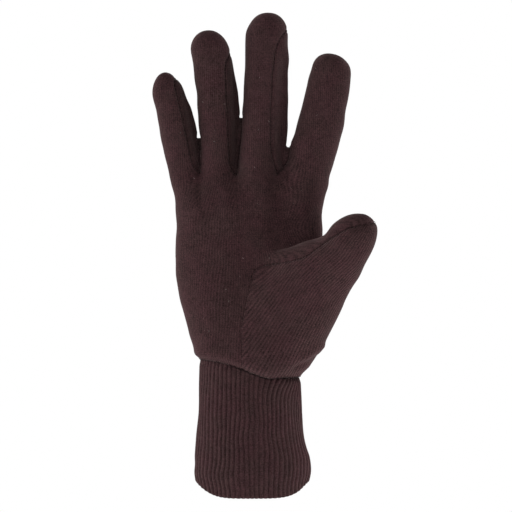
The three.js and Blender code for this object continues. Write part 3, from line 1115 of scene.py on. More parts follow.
    def course(self, points: np.ndarray, panel: Panel) -> np.ndarray:
        """Return the distance along the knit's wales at each point of a panel.

        Args:
            points: The panel's points.
            panel: The panel.

        Returns:
            One distance for each point.
        """
        if panel is not Panel.THUMB:
            return points[:, 2]
        height, _, _ = self.form.thumb_frame(*points.T)
        return height * self.form.thumb_rise * self.course_stretch


def quarter_arc(
    across: np.ndarray, back: np.ndarray, half: np.ndarray | float, deep: np.ndarray | float
) -> np.ndarray:
    """Return the way round an oval from its front or back middle to each point.

    Args:
        across: Places across the oval.
        back: Places through its depth.
        half: Its half width.
        deep: Its half depth.

    Returns:
        The arc's length, with the sign of the place across.
    """
    angle = np.arctan2(np.abs(across) / half, np.abs(back) / deep)
    steps = (np.arange(16)[:, None] + 0.5) / 16 * angle
    arc = np.hypot(half * np.cos(steps), deep * np.sin(steps)).mean(axis=0) * angle
    return np.sign(across) * arc


def quad_edges(quads: np.ndarray) -> np.ndarray:
    """Return each edge of a net of quads once."""
    pairs = np.concatenate([quads[:, [side, (side + 1) % 4]] for side in range(4)])
    return np.unique(np.sort(pairs, axis=1), axis=0)


def snapped(
    points: np.ndarray, edges: np.ndarray, value: np.ndarray, where: np.ndarray | None = None
) -> tuple[np.ndarray, np.ndarray]:
    """Move the nearer end of each edge that crosses a line onto the line.

    Args:
        points: The net's points.
        edges: Its edges.
        value: The signed distance of each point to the line.
        where: Which points may move, or None for all.

    Returns:
        The moved points and their signed distances, exactly zero on the line.
    """
    points = points.copy()
    value = value.copy()
    first, second = edges.T
    crossing = value[first] * value[second] < 0
    if where is not None:
        crossing &= where[first] & where[second]
    first, second = first[crossing], second[crossing]
    swap = np.abs(value[first]) > np.abs(value[second])
    near, far = np.where(swap, second, first), np.where(swap, first, second)
    share = value[near] / (value[near] - value[far])
    order = np.argsort(-share)
    near, far, share = near[order], far[order], share[order]
    target = points[near] + (points[far] - points[near]) * share[:, None]
    points[near] = target
    value[near] = 0
    return points, value


def label_range(quads: np.ndarray, label: np.ndarray, count: int) -> tuple[np.ndarray, np.ndarray]:
    """Return the lowest and the highest label of the quads round each point, or -1 where it has none.

    Args:
        quads: The net's quads.
        label: Each quad's label.
        count: The number of points.

    Returns:
        The lowest labels and the highest ones.
    """
    low = np.full(count, np.iinfo(int).max)
    high = np.full(count, -1)
    for side in range(4):
        np.minimum.at(low, quads[:, side], label)
        np.maximum.at(high, quads[:, side], label)
    return low, high


def border_edges(quads: np.ndarray, label: np.ndarray, chosen: np.ndarray) -> np.ndarray:
    """Return the edges between quads of different panels.

    Args:
        quads: The net's quads.
        label: Each quad's panel.
        chosen: The points on the borders, in rising order.

    Returns:
        The edges, as places in the chosen points.
    """
    pairs = np.concatenate([np.sort(quads[:, [side, (side + 1) % 4]], axis=1) for side in range(4)])
    names = np.tile(label, 4)
    order = np.lexsort((pairs[:, 1], pairs[:, 0]))
    pairs, names = pairs[order], names[order]
    border = (pairs[1:] == pairs[:-1]).all(axis=1) & (names[1:] != names[:-1])
    return np.searchsorted(chosen, pairs[:-1][border])


def nearest_distance(points: np.ndarray, targets: np.ndarray) -> tuple[np.ndarray, np.ndarray]:
    """Return the distance from each point to the nearest target, and which target that is.

    Args:
        points: The points to measure from.
        targets: The points to measure to.

    Returns:
        The distances, and the places of the nearest targets in their list.
    """
    tree = kdtree.KDTree(len(targets))
    for index, target in enumerate(targets):
        tree.insert(target, index)
    tree.balance()
    found = [tree.find(point)[1:] for point in points]
    return np.array([distance for _, distance in found]), np.array([index for index, _ in found])


def mesh_object(
    name: str, points: np.ndarray, faces: np.ndarray, attributes: dict[str, np.ndarray] | None = None
) -> bpy.types.Object:
    """Make a smooth mesh object in the scene.

    Args:
        name: Its name.
        points: Its points in metres.
        faces: Its quads.
        attributes: Numbers to keep on its points, by name.

    Returns:
        The object.
    """
    mesh = bpy.data.meshes.new(name)
    mesh.from_pydata(points.tolist(), [], faces.tolist())
    for key, values in (attributes or {}).items():
        attribute = mesh.attributes.new(key, "FLOAT", "POINT")
        attribute.data.foreach_set("value", values.astype(np.float32))
    mesh.shade_smooth()
    obj = bpy.data.objects.new(name, mesh)
    bpy.context.scene.collection.objects.link(obj)
    return obj


Socket = bpy.types.NodeSocket


class Nodes:
    """A node tree that is built node by node."""

    def __init__(self, tree: bpy.types.NodeTree) -> None:
        """Take the tree."""
        self.tree = tree

    def node(self, kind: str, settings: dict[str, str] | None = None, **inputs: object) -> bpy.types.Node:
        """Add a node.

        Args:
            kind: The node's type.
            settings: Its properties.
            inputs: A value or a socket for each of its inputs, with _ for the spaces in a name.

        Returns:
            The node.
        """
        node = self.tree.nodes.new(kind)
        for key, value in (settings or {}).items():
            setattr(node, key, value)
        for key, value in inputs.items():
            name = key.replace("_", " ")
            sockets = [socket for socket in node.inputs if socket.enabled and socket.name == name]
            self.feed(sockets[0], value)
        return node

    def feed(self, socket: Socket, value: object) -> None:
        """Link a socket to another one, or set its value.

        Args:
            socket: The input.
            value: The other socket, or the value.
        """
        if isinstance(value, Socket):
            self.tree.links.new(value, socket)
        else:
            socket.default_value = value

    def math(self, operation: str, *values: float | Socket) -> Socket:
        """Add a math node on one, two or three values.

        Args:
            operation: What the node does.
            values: Its inputs in their order.

        Returns:
            Its result.
        """
        node = self.tree.nodes.new("ShaderNodeMath")
        node.operation = operation
        for socket, value in zip(node.inputs, values):
            self.feed(socket, value)
        return node.outputs[0]

    def vector(self, operation: str, *values: object) -> Socket:
        """Add a vector math node on vectors.

        Args:
            operation: What the node does.
            values: Its inputs in their order.

        Returns:
            Its result.
        """
        node = self.tree.nodes.new("ShaderNodeVectorMath")
        node.operation = operation
        for socket, value in zip(node.inputs, values):
            self.feed(socket, value)
        return node.outputs["Vector"]

    def scaled(self, vector: object, factor: float | Socket) -> Socket:
        """Scale a vector by a number.

        Args:
            vector: The vector.
            factor: The number.

        Returns:
            The scaled vector.
        """
        node = self.tree.nodes.new("ShaderNodeVectorMath")
        node.operation = "SCALE"
        self.feed(node.inputs["Vector"], vector)
        self.feed(node.inputs["Scale"], factor)
        return node.outputs["Vector"]

    def surface(self, name: str) -> Socket:
        """Read a number that the cloth's points carry, in a material."""
        return self.node("ShaderNodeAttribute", {"attribute_name": name}).outputs["Fac"]


class NodeTree(Nodes):
    """A geometry node tree with named inputs for its sizes."""

    def __init__(self, name: str) -> None:
        """Start an empty tree.

        Args:
            name: The tree's name.
        """
        super().__init__(bpy.data.node_groups.new(name, "GeometryNodeTree"))
        for side in ("INPUT", "OUTPUT"):
            self.tree.interface.new_socket("Geometry", in_out=side, socket_type="NodeSocketGeometry")
        self.entry = self.tree.nodes.new("NodeGroupInput")
        self.values: dict[str, float] = {}

    @property
    def geometry(self) -> Socket:
        """The geometry that the tree starts from."""
        return self.entry.outputs["Geometry"]

    def size(self, name: str, value: float) -> Socket:
        """Add a named input.

        Args:
            name: The input's name.
            value: The value that it gets; a whole number makes a whole-number input.

        Returns:
            The socket that carries it.
        """
        kind = "NodeSocketInt" if isinstance(value, int) else "NodeSocketFloat"
        socket = self.tree.interface.new_socket(name, in_out="INPUT", socket_type=kind)
        self.values[socket.identifier] = value
        return self.entry.outputs[name]

    def attribute(self, name: str, kind: str = "FLOAT") -> Socket:
        """Read a named attribute of the geometry."""
        node = self.node("GeometryNodeInputNamedAttribute", {"data_type": kind}, Name=name)
        return node.outputs["Attribute"]

    def random(self, low: float, high: float, seed: Socket) -> Socket:
        """Return a random number between two bounds for each instance."""
        node = self.node("FunctionNodeRandomValue", {"data_type": "FLOAT"}, Min=low, Max=high, Seed=seed)
        return node.outputs[1]

    def run(self, obj: bpy.types.Object, geometry: Socket, material: bpy.types.Material) -> None:
        """End the tree, run it on an object and keep the result as the object's plain mesh.

        Args:
            obj: The object, whose mesh is replaced.
            geometry: The socket with the tree's result.
            material: The material that the result gets.
        """
        real = self.node("GeometryNodeRealizeInstances", Geometry=geometry)
        dressed = self.node("GeometryNodeSetMaterial", Geometry=real.outputs["Geometry"], Material=material)
        end = self.tree.nodes.new("NodeGroupOutput")
        self.tree.links.new(dressed.outputs["Geometry"], end.inputs["Geometry"])
        modifier = obj.modifiers.new(self.tree.name, "NODES")
        modifier.node_group = self.tree
        for identifier, value in self.values.items():
            modifier[identifier] = value
        graph = bpy.context.evaluated_depsgraph_get()
        mesh = bpy.data.meshes.new_from_object(obj.evaluated_get(graph), depsgraph=graph)
        obj.modifiers.remove(modifier)
        obj.data = mesh


@dataclass
class KnitCuff:
    """The rib-knit wrist, a tube with a turned hem at its mouth, ribbed by Geometry Nodes."""

    length: float = 75
    width: float = 60
    depth: float = 42
    wall: float = 2.0
    rib_count: int = 62
    rib_depth: float = 0.75
    rib_roundness: float = 0.62
    points_per_rib: int = 8
    rows: int = 100
    inner_rows: int = 16
    mouth_height: float = 0.8
    hem_rise: float = 8
    hem_power: float = 5
    overlap: float = 0.6
    waver: float = 1.1
    waver_scale: float = 60
    gather: float = 2.6
    gather_power: float = 9
    gather_turn: float = 0.9
    gather_focus: float = 130
    buckle: float = 0.5
    buckle_end: float = 0.97
    buckle_rate: float = 0.13
    buckle_sway: float = 1.7
    buckle_start: float = 0.6
    buckle_drift: float = 0.05
    buckle_sides: int = 3
    tuck_reach: float = 2.5
    angle_samples: int = 2001

    sections = Table(
        "height left right depth",
        (0.0, 1.0, 1.01, 0.96),
        (0.107, 1.045, 1.045, 1.0),
        (0.176, 1.063, 1.08, 1.02),
        (0.235, 1.045, 1.08, 1.02),
        (0.293, 1.04, 1.063, 1.02),
        (0.352, 1.027, 1.02, 1.02),
        (0.47, 1.008, 0.955, 1.0),
        (0.6, 0.99, 0.917, 0.98),
        (0.8, 0.975, 0.898, 0.97),
        (1.12, 0.97, 0.91, 0.98),
    )
    hem_bends = Table(
        "bend raised",
        (0.25, 0.7),
        (0.5, 0.35),
        (0.75, 0.1),
    )

    def build(self, hand: "SewnHand", material: bpy.types.Material) -> bpy.types.Object:
        """Model the cuff up to the hand's seam.

        Args:
            hand: The hand that the cuff is sewn to.
            material: The rib knit's material.

        Returns:
            The cuff's object.
        """
        columns = self.rib_count * self.points_per_rib
        turn = np.arange(columns) / columns
        angle = self.even_angles(turn)
        outer = [self.ring(angle, share, 0.0, hand) for share in np.linspace(1, 0, self.rows)]
        bends, hem_raised = self.hem_bends.values
        hem = [self.hem_ring(angle, bend, hand) for bend in bends]
        inner = [self.ring(angle, share, self.wall, hand) for share in np.linspace(0, 1, self.inner_rows)]
        stack = np.array([*outer, *hem, *inner])
        count = len(stack)
        index = np.arange(count * columns).reshape(count, columns)
        following = np.roll(index, -1, axis=1)
        faces = np.stack([index[1:], following[1:], following[:-1], index[:-1]], axis=-1).reshape(-1, 4)
        closing = np.stack([index[0], following[0], following[-1], index[-1]], axis=-1)
        shares = np.concatenate([np.linspace(1, 0, self.rows), np.zeros(count - self.rows)])
        raised = np.concatenate([np.ones(self.rows), hem_raised, np.zeros(self.inner_rows)])
        attributes = {
            "turn": np.tile(turn, count),
            "share": np.repeat(shares, columns),
            # The seam and strength numbers darken the cuff's top in the material: painted shade under the
            # hand's hem.
            "seam": np.repeat(1 - shares, columns) * self.length * MM,
            "strength": np.ones(count * columns),
            "raised": np.repeat(raised, columns),
        }
        points = stack.reshape(-1, 3) * MM
        obj = mesh_object("knit_cuff_cloth", points, np.concatenate([faces, closing]), attributes)
        self.raise_ribs(obj, material)
        LOG.info("cuff: %d faces", len(obj.data.polygons))
        return obj

    def raise_ribs(self, obj: bpy.types.Object, material: bpy.types.Material) -> None:
        """Sink the valleys between the ribs, which waver and lean over under the hand's seam.

        Args:
            obj: The cuff's object.
            material: Its material.
        """
        tree = NodeTree("raise_ribs")
        count = tree.size("Rib Count", float(self.rib_count))
        depth = tree.size("Rib Depth", self.rib_depth * MM)
        roundness = tree.size("Rib Roundness", self.rib_roundness)
        waver = tree.size("Waver", self.waver)
        gather = tree.size("Gather", self.gather)
        turn, share, raised = (tree.attribute(name) for name in ("turn", "share", "raised"))
        swing = tree.node(
            "ShaderNodeTexNoise",
            {"noise_dimensions": "3D"},
            Vector=tree.node("GeometryNodeInputPosition").outputs[0],
            Scale=self.waver_scale,
            Detail=1.0,
        ).outputs["Fac"]
        swing = tree.math("MULTIPLY", tree.math("SUBTRACT", swing, 0.5), waver)
        top = tree.math("POWER", share, self.gather_power)
        side = tree.math("SUBTRACT", turn, self.gather_turn)
        side = tree.math("MULTIPLY", tree.math("MULTIPLY", side, side), -self.gather_focus)
        side = tree.math("EXPONENT", side)
        lean = tree.math("MULTIPLY", tree.math("MULTIPLY", top, side), gather)
        phase = tree.math("SUBTRACT", tree.math("MULTIPLY", turn, count), lean)
        phase = tree.math("MULTIPLY", tree.math("ADD", phase, swing), math.pi)
        rib = tree.math("POWER", tree.math("ABSOLUTE", tree.math("SINE", phase)), roundness)
        sink = tree.math("MULTIPLY", tree.math("SUBTRACT", rib, 1.0), depth)
        sink = tree.math("MULTIPLY", sink, raised)
        normal = tree.node("GeometryNodeInputNormal").outputs[0]
        moved = tree.node("GeometryNodeSetPosition", Geometry=tree.geometry, Offset=tree.scaled(normal, sink))
        kept = tree.node(
            "GeometryNodeStoreNamedAttribute",
            {"data_type": "FLOAT", "domain": "POINT"},
            Geometry=moved.outputs["Geometry"],
            Name="rib",
            Value=rib,
        )
        tree.run(obj, kept.outputs["Geometry"], material)

    def even_angles(self, turn: np.ndarray) -> np.ndarray:
        """Return the angles that share the oval's way round evenly.

        Args:
            turn: Shares of the way round.

        Returns:
            One angle for each point of a ring.
        """
        fine = np.linspace(0, 2 * math.pi, self.angle_samples)
        speed = np.hypot(self.width / 2 * np.sin(fine), self.depth / 2 * np.cos(fine))
        way = np.concatenate([[0], np.cumsum((speed[1:] + speed[:-1]) / 2)])
        return np.interp(turn, way / way[-1], fine)

    def ring(self, angle: np.ndarray, share: float, inset: float, hand: "SewnHand") -> np.ndarray:
        """Return one ring of points.

        Args:
            angle: The points' angles round the oval.
            share: The share of the way from the mouth to the hand's seam.
            inset: How far the ring lies inside the outer face.
            hand: The hand that the cuff is sewn to.

        Returns:
            The ring's points.
        """
        cos, sin = np.cos(angle), np.sin(angle)
        x = cos * self.width / 2
        mouth = self.mouth_height + self.hem_rise * np.abs(cos) ** self.hem_power
        top = hand.cuff_seam_height(x) + self.overlap
        z = mouth + (top - mouth) * share
        height = z / self.length
        left, right, depth = (self.sections.curve(name, height) for name in ("left", "right", "depth"))
        half = np.where(cos > 0, right, left) * self.width / 2
        sway = self.buckle_sway * np.sin(angle * 2 + self.buckle_start)
        turn = angle * self.buckle_sides + self.buckle_drift * z
        buckle = np.sin(self.buckle_rate * z + sway) * np.sin(turn)
        tuck = hand.cuff_tuck * math.exp(-(((1 - share) * self.length / self.tuck_reach) ** 2))
        sink = inset + tuck - self.buckle * buckle * (share < self.buckle_end)
        return np.stack([(half - sink) * cos, (depth * self.depth / 2 - sink) * sin, z], axis=1)

    def hem_ring(self, angle: np.ndarray, bend: float, hand: "SewnHand") -> np.ndarray:
        """Return one ring of the rounded edge at the mouth.

        Args:
            angle: The points' angles round the oval.
            bend: The share of the way round the edge, from outside to inside.
            hand: The hand that the cuff is sewn to.

        Returns:
            The ring's points.
        """
        outer = self.ring(angle, 0.0, 0.0, hand)
        inner = self.ring(angle, 0.0, self.wall, hand)
        middle = outer + (inner - outer) * (1 - math.cos(math.pi * bend)) / 2
        middle[:, 2] -= math.sin(math.pi * bend) * self.wall / 2
        return middle


@dataclass(frozen=True)
class Fibre:
    """Loose fibres or threads of one kind, scattered over a piece or set along its seams.

    The bow is how far a strand's middle lies above its ends, and the tilt is the most that it leans,
    in radians. The bow, the shortest and the longest are shares of the length.
    """

    name: str
    length: float
    radius: float
    seed: int
    sides: int = 3
    bow: float = 0.3
    tilt: float = 0.06
    shortest: float = 0.5
    longest: float = 1.3

    def strand(self, tree: NodeTree) -> Socket:
        """Make one short bent strand, lying along X.

        Args:
            tree: The tree that it belongs to.

        Returns:
            The strand's geometry.
        """
        length = tree.size("Length", self.length * MM)
        radius = tree.size("Radius", self.radius * MM)
        shape = ((-0.5, 0, 0), (0, 0, self.bow), (0.5, 0, 0))
        start, middle, end = (tree.scaled(place, length) for place in shape)
        path = tree.node(
            "GeometryNodeCurveQuadraticBezier", Resolution=2, Start=start, Middle=middle, End=end
        )
        ring = tree.node(
            "GeometryNodeCurvePrimitiveCircle", {"mode": "RADIUS"}, Resolution=self.sides, Radius=radius
        )
        tube = tree.node(
            "GeometryNodeCurveToMesh",
            Curve=path.outputs["Curve"],
            Profile_Curve=ring.outputs["Curve"],
            Fill_Caps=True,
        )
        return tube.outputs["Mesh"]

    def place(
        self, tree: NodeTree, mesh: bpy.types.Mesh, material: bpy.types.Material, **inputs: Socket
    ) -> bpy.types.Object:
        """Set strands on points and keep them as one mesh.

        Args:
            tree: The tree that finds the points.
            mesh: The mesh that the tree reads.
            material: The strands' material.
            inputs: The points, and how each strand is turned and scaled.

        Returns:
            The strands' object.
        """
        obj = bpy.data.objects.new(self.name, mesh)
        bpy.context.scene.collection.objects.link(obj)
        placed = tree.node("GeometryNodeInstanceOnPoints", **inputs)
        tree.run(obj, placed.outputs["Instances"], material)
        LOG.info("%s: %d faces", self.name, len(obj.data.polygons))
        return obj

    def scatter(
        self, surface: bpy.types.Object, density: float, material: bpy.types.Material
    ) -> bpy.types.Object:
        """Scatter strands that lie on a surface.

        Args:
            surface: The surface, whose mesh is read and kept.
            density: Strands for each square centimetre.
            material: The strands' material.

        Returns:
            The strands' object.
        """
        tree = NodeTree(f"scatter_{self.name}")
        amount = tree.size("Density", density * SQUARE_CM_PER_SQUARE_M)
        seed = tree.size("Seed", self.seed)
        strand = self.strand(tree)
        dots = tree.node(
            "GeometryNodeDistributePointsOnFaces",
            {"distribute_method": "RANDOM"},
            Mesh=tree.geometry,
            Density=amount,
            Seed=seed,
        )
        turn, tilt = tree.random(0.0, 2 * math.pi, seed), tree.random(-self.tilt, self.tilt, seed)
        spin = tree.node("ShaderNodeCombineXYZ", X=tilt, Z=turn)
        facing = tree.node("FunctionNodeEulerToRotation", Euler=spin.outputs[0])
        whole = tree.node(
            "FunctionNodeRotateRotation",
            {"rotation_space": "LOCAL"},
            Rotation=dots.outputs["Rotation"],
            Rotate_By=facing.outputs[0],
        )
        scale = tree.random(self.shortest, self.longest, seed)
        places = {"Points": dots.outputs["Points"], "Rotation": whole.outputs[0], "Scale": scale}
        return self.place(tree, surface.data.copy(), material, Instance=strand, **places)

    def stitch(self, seams: SeamPath, pitch: float, material: bpy.types.Material) -> bpy.types.Object:
        """Set threads across the seams.

        Args:
            seams: The path of the seams, in millimetres.
            pitch: The distance between threads in millimetres.
            material: The thread's material.

        Returns:
            The threads' object.
        """
        mesh = bpy.data.meshes.new(self.name)
        mesh.from_pydata((seams.points * MM).tolist(), seams.edges.tolist(), [])
        attribute = mesh.attributes.new("out", "FLOAT_VECTOR", "POINT")
        attribute.data.foreach_set("vector", seams.out.astype(np.float32).ravel())
        tree = NodeTree(f"set_{self.name}")
        spacing = tree.size("Pitch", pitch * MM)
        strand = self.strand(tree)
        line = tree.node("GeometryNodeMeshToCurve", Mesh=tree.geometry)
        steps = tree.node(
            "GeometryNodeResampleCurve", {"mode": "LENGTH"}, Curve=line.outputs[0], Length=spacing
        )
        out_way = tree.attribute("out", "FLOAT_VECTOR")
        upright = tree.node("FunctionNodeAlignRotationToVector", {"axis": "Z"}, Vector=out_way)
        across = tree.node(
            "FunctionNodeAlignRotationToVector",
            {"axis": "Y", "pivot_axis": "Z"},
            Rotation=upright.outputs[0],
            Vector=tree.node("GeometryNodeInputTangent").outputs[0],
        )
        places = {"Points": steps.outputs[0], "Rotation": across.outputs[0]}
        return self.place(tree, mesh, material, Instance=strand, **places)


@dataclass(frozen=True)
class Finish:
    """A matte cotton cloth, whose colour and height vary with its fibres, wales, ribs and seams; its darker
    colour between the ribs and along the seams is painted shade.

    Depths, widths and pitches are in millimetres and scales in cells a metre. The shares say how far
    each pattern lightens or darkens the colour, but the leg and the column share make up the wale.
    """

    name: str
    colour: tuple[float, float, float]
    wale_pitch: float = 1.25
    wale_depth: float = 0.05
    wale_share: float = 0.26
    wale_sway: float = 1.6
    leg_slant: float = 1.6
    leg_share: float = 0.45
    column_share: float = 0.75
    course_pitch: float = 1.05
    fibre_scale: float = 1400
    fibre_share: float = 1.3
    cloud_scale: float = 260
    cloud_share: float = 0.34
    patch_scale: float = 90
    patch_span: tuple[float, float] = (0.35, 0.65)
    patch_hue: tuple[float, float, float] = (-0.07, 0.05, -0.02)
    nap_depth: float = 0.12
    # How strongly and how far the colour darkens at a seam: painted shade in the seam's groove.
    seam_share: float = 0.4
    painted_shade_width: float = 0.9
    # How much the valleys between the ribs are darkened: painted shade.
    rib_valley_shade: float = 0.0
    sheen: float = 0.12
    sheen_roughness: float = 0.45
    sheen_tint: tuple[float, float, float] = (1.0, 0.7, 0.68)
    specular: float = 0.1
    roughness: float = 0.92

    def material(self) -> bpy.types.Material:
        """Build the finish's material.

        Returns:
            The material.
        """
        material = bpy.data.materials.new(self.name)
        material.use_nodes = True
        nodes = Nodes(material.node_tree)
        shader = material.node_tree.nodes["Principled BSDF"]
        shader.inputs["Roughness"].default_value = self.roughness
        shader.inputs["Specular IOR Level"].default_value = self.specular
        shader.inputs["Sheen Weight"].default_value = self.sheen
        shader.inputs["Sheen Roughness"].default_value = self.sheen_roughness
        shader.inputs["Sheen Tint"].default_value = (*self.sheen_tint, 1)
        place = nodes.node("ShaderNodeTexCoord").outputs["Object"]
        fibres = self.noise(nodes, place, self.fibre_scale, 4)
        clouds = self.noise(nodes, place, self.cloud_scale, 2)
        wales = self.wales(nodes, clouds)
        tone = nodes.math("MULTIPLY_ADD", fibres, self.fibre_share * 2, 1 - self.fibre_share)
        tone = nodes.math("ADD", tone, -self.cloud_share)
        tone = nodes.math("MULTIPLY_ADD", clouds, self.cloud_share * 2, tone)
        tone = nodes.math("MULTIPLY_ADD", wales, self.wale_share, tone)
        # Painted shade: the colour darkens along the seams and the hem.
        tone = nodes.math("MULTIPLY", tone, self.painted_seam_shade(nodes))
        # Painted shade: the valleys between the ribs darken.
        if self.rib_valley_shade:
            rib = nodes.math("MULTIPLY_ADD", nodes.surface("rib"), self.rib_valley_shade, 1 - self.rib_valley_shade)
            tone = nodes.math("MULTIPLY", tone, rib)
        low, high = self.patch_span
        patches = self.noise(nodes, place, self.patch_scale, 2)
        hue = nodes.node("ShaderNodeMapRange", Value=patches, From_Min=low, From_Max=high).outputs["Result"]
        drift = nodes.scaled(self.patch_hue, hue)
        base = nodes.vector("MULTIPLY", self.colour, nodes.vector("ADD", (1, 1, 1), drift))
        nodes.feed(shader.inputs["Base Color"], nodes.scaled(base, tone))
        height = nodes.math("MULTIPLY", wales, self.wale_depth * MM)
        height = nodes.math("MULTIPLY_ADD", fibres, self.nap_depth * MM, height)
        bump = nodes.node("ShaderNodeBump", Height=height, Distance=1.0, Strength=1.0)
        nodes.feed(shader.inputs["Normal"], bump.outputs["Normal"])
        return material

    def noise(self, nodes: Nodes, place: Socket, scale: float, detail: float) -> Socket:
        """Return a noise of a scale, given in cells a metre."""
        return nodes.node("ShaderNodeTexNoise", Vector=place, Scale=scale, Detail=detail).outputs["Fac"]

    def wales(self, nodes: Nodes, clouds: Socket) -> Socket:
        """Return the stitches' wave, from -1 to 1, a little uneven across the cloth.

        Each wale is a column of stitches, whose two legs slant up from its middle.

        Args:
            nodes: The material's nodes.
            clouds: The noise that makes the wave uneven.

        Returns:
            The wave at each place.
        """
        phase = nodes.math("MULTIPLY", nodes.surface("wale"), 2 * math.pi / (self.wale_pitch * MM))
        phase = nodes.math("MULTIPLY_ADD", clouds, self.wale_sway, phase)
        column = nodes.math("SINE", phase)
        rise = nodes.math("MULTIPLY", nodes.surface("course"), 2 * math.pi / (self.course_pitch * MM))
        legs = nodes.math("SINE", nodes.math("MULTIPLY_ADD", column, self.leg_slant, rise))
        column = nodes.math("MULTIPLY", column, self.column_share)
        return nodes.math("MULTIPLY_ADD", legs, self.leg_share, column)

    def painted_seam_shade(self, nodes: Nodes) -> Socket:
        """Return how dark the cloth is painted close to a seam: painted shade in the seam's groove.

        Args:
            nodes: The material's nodes.

        Returns:
            The factor that darkens the colour.
        """
        shade = nodes.node(
            "ShaderNodeMapRange",
            {"interpolation_type": "SMOOTHSTEP"},
            Value=nodes.surface("seam"),
            From_Max=self.painted_shade_width * MM,
            To_Min=-self.seam_share,
            To_Max=0.0,
        )
        return nodes.math("MULTIPLY_ADD", shade.outputs["Result"], nodes.surface("strength"), 1.0)


@dataclass(frozen=True)
class SoftBox:
    """A square soft light that faces a target, in metres, with its spread in degrees and its watts."""

    name: str
    place: tuple[float, float, float]
    target: tuple[float, float, float]
    size: float
    spread: float
    power: float

    def build(self) -> None:
        """Put the light in the scene."""
        data = bpy.data.lights.new(self.name, "AREA")
        data.size = self.size
        data.spread = math.radians(self.spread)
        data.energy = self.power
        light = bpy.data.objects.new(self.name, data)
        light.location = self.place
        way = Vector(self.target) - Vector(self.place)
        light.rotation_euler = way.to_track_quat("-Z", "Y").to_euler()
        bpy.context.scene.collection.objects.link(light)


@dataclass
class Studio:
    """The plain floor, the soft lights and the camera at the photograph's angle.

    The scale is in millimetres for each pixel of the photograph, and the centre is the place that its
    middle shows, in millimetres. The other lengths are in metres, but the sensor's in millimetres.
    """

    scale: float = 0.55
    centre_x: float = 2.2
    centre_z: float = 132
    distance: float = 1.8
    sensor: float = 36
    pixels: int = 512
    front_fill: float = 0.34
    back_fill: float = 1.0
    fill_span: tuple[float, float] = (-0.5, 0.8)
    floor_height: float = -0.55
    floor_half: float = 1.0

    boxes = (
        SoftBox("left_softbox", (-0.62, -0.15, -0.05), (-0.02, 0, 0.08), 0.4, 80, 0.85),
        SoftBox("right_softbox", (0.5, -0.14, -0.3), (0.05, 0, 0.05), 0.3, 45, 0.34),
        SoftBox("front_softbox", (-0.4, -0.75, -0.35), (0, 0, 0.14), 0.5, 180, 1.45),
        SoftBox("top_softbox", (0.1, -0.6, 0.9), (0, 0, 0.14), 0.5, 180, 2.2),
    )

    def build(self) -> None:
        """Put the floor, lights and camera in the scene."""
        scene = bpy.context.scene
        scene.view_settings.view_transform = "Standard"
        camera = bpy.data.cameras.new("camera")
        camera.sensor_width = self.sensor
        camera.lens = self.sensor * self.distance / (self.pixels * self.scale * MM)
        view = bpy.data.objects.new("camera", camera)
        view.location = (self.centre_x * MM, -self.distance, self.centre_z * MM)
        view.rotation_euler = (math.pi / 2, 0, 0)
        scene.collection.objects.link(view)
        scene.camera = view
        self.surroundings()
        for box in self.boxes:
            box.build()
        self.floor()

    def surroundings(self) -> None:
        """Add the white surroundings, which light the glove more from behind than from the front."""
        world = bpy.data.worlds.new("surroundings")
        world.use_nodes = True
        tree = Nodes(world.node_tree)
        background = world.node_tree.nodes["Background"]
        background.inputs["Color"].default_value = (1, 1, 1, 1)
        way = tree.vector("NORMALIZE", tree.node("ShaderNodeTexCoord").outputs["Generated"])
        depth = tree.node("ShaderNodeSeparateXYZ", Vector=way).outputs["Y"]
        front, back = self.fill_span
        light = tree.node(
            "ShaderNodeMapRange",
            {"interpolation_type": "SMOOTHSTEP"},
            Value=depth,
            From_Min=front,
            From_Max=back,
            To_Min=self.front_fill,
            To_Max=self.back_fill,
        )
        seen = tree.node("ShaderNodeLightPath").outputs["Is Camera Ray"]
        tree.feed(background.inputs["Strength"], tree.math("MAXIMUM", seen, light.outputs["Result"]))
        bpy.context.scene.world = world

    def floor(self) -> None:
        """Add the plain pale floor under the glove."""
        places = ((-1, -1), (1, -1), (1, 1), (-1, 1))
        corners = np.array([(x * self.floor_half, y * self.floor_half, self.floor_height) for x, y in places])
        floor = mesh_object("floor", corners, np.array([[0, 1, 2, 3]]))
        material = bpy.data.materials.new("pale_floor")
        material.use_nodes = True
        shader = material.node_tree.nodes["Principled BSDF"]
        shader.inputs["Base Color"].default_value = (0.95, 0.95, 0.95, 1)
        shader.inputs["Roughness"].default_value = 0.9
        floor.data.materials.append(material)


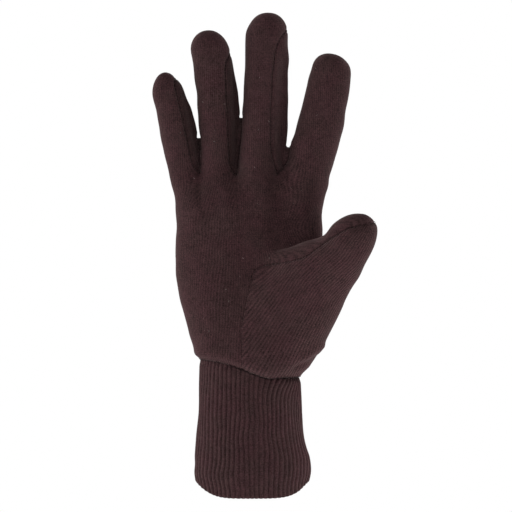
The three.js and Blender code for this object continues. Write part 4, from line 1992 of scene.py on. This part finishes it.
def dress(obj: bpy.types.Object, node: str = "") -> None:
    """Let a piece ride on the glove and stand for a solid.

    Args:
        obj: The piece.
        node: The solid that it stands for, or nothing where it is added to one.
    """
    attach(obj, BODY)
    if node:
        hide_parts(node)
    LOG.info("%s rides on %s", obj.name, BODY)


def main() -> None:
    """Build the glove and its surroundings."""
    logging.basicConfig(level=logging.INFO, format="%(relativeCreated)6.0f ms %(message)s")
    Studio().build()
    brown = (0.0412, 0.0182, 0.0201)
    # A darker brown for the little and ring fingers' side pieces: painted shade for the shadow between the
    # fingers.
    painted_shade_brown = (0.0295, 0.0138, 0.0147)
    pale_brown = (0.3, 0.24, 0.24)
    jersey = Finish("brown_jersey", brown).material()
    thumb_jersey = Finish("thumb_jersey", brown, wale_pitch=1.5, wale_depth=0.1, wale_share=0.34).material()
    unknit = {"wale_depth": 0, "wale_share": 0}
    # The rib knit's colour darkens under the hand's seam: painted shade of the hem's overhang.
    rib_knit = Finish(
        "brown_rib_knit", brown, seam_share=0.75, painted_shade_width=1.5, rib_valley_shade=0.26, **unknit
    ).material()
    # A darker copy of the jersey: painted shade on the side pieces between the fingers.
    gusset_jersey = Finish("gusset_jersey", painted_shade_brown).material()
    thread = Finish("brown_thread", brown, seam_share=0, **unknit).material()
    lint = Finish("pale_lint", pale_brown, seam_share=0, **unknit).material()
    hand = SewnHand(HandForm())
    panels, seams = hand.build()
    # The little and ring side pieces get the darker material, painted shade between the fingers.
    finishes = {
        Panel.THUMB: thumb_jersey,
        Panel.LITTLE_GUSSET: gusset_jersey,
        Panel.RING_GUSSET: gusset_jersey,
    }
    for panel, obj in panels.items():
        obj.data.materials.append(finishes.get(panel, jersey))
        dress(obj, panel.value)
    cuff = KnitCuff().build(hand, rib_knit)
    dress(cuff, "knit_cuff")
    stitches = Fibre("seam_stitches", length=1.5, radius=0.14, seed=3).stitch(seams, 2.2, thread)
    dress(stitches)
    specks = Fibre("palm_lint", length=0.8, radius=0.06, seed=11).scatter(panels[Panel.PALM], 0.3, lint)
    dress(specks)


if __name__ == "__main__":
    main()
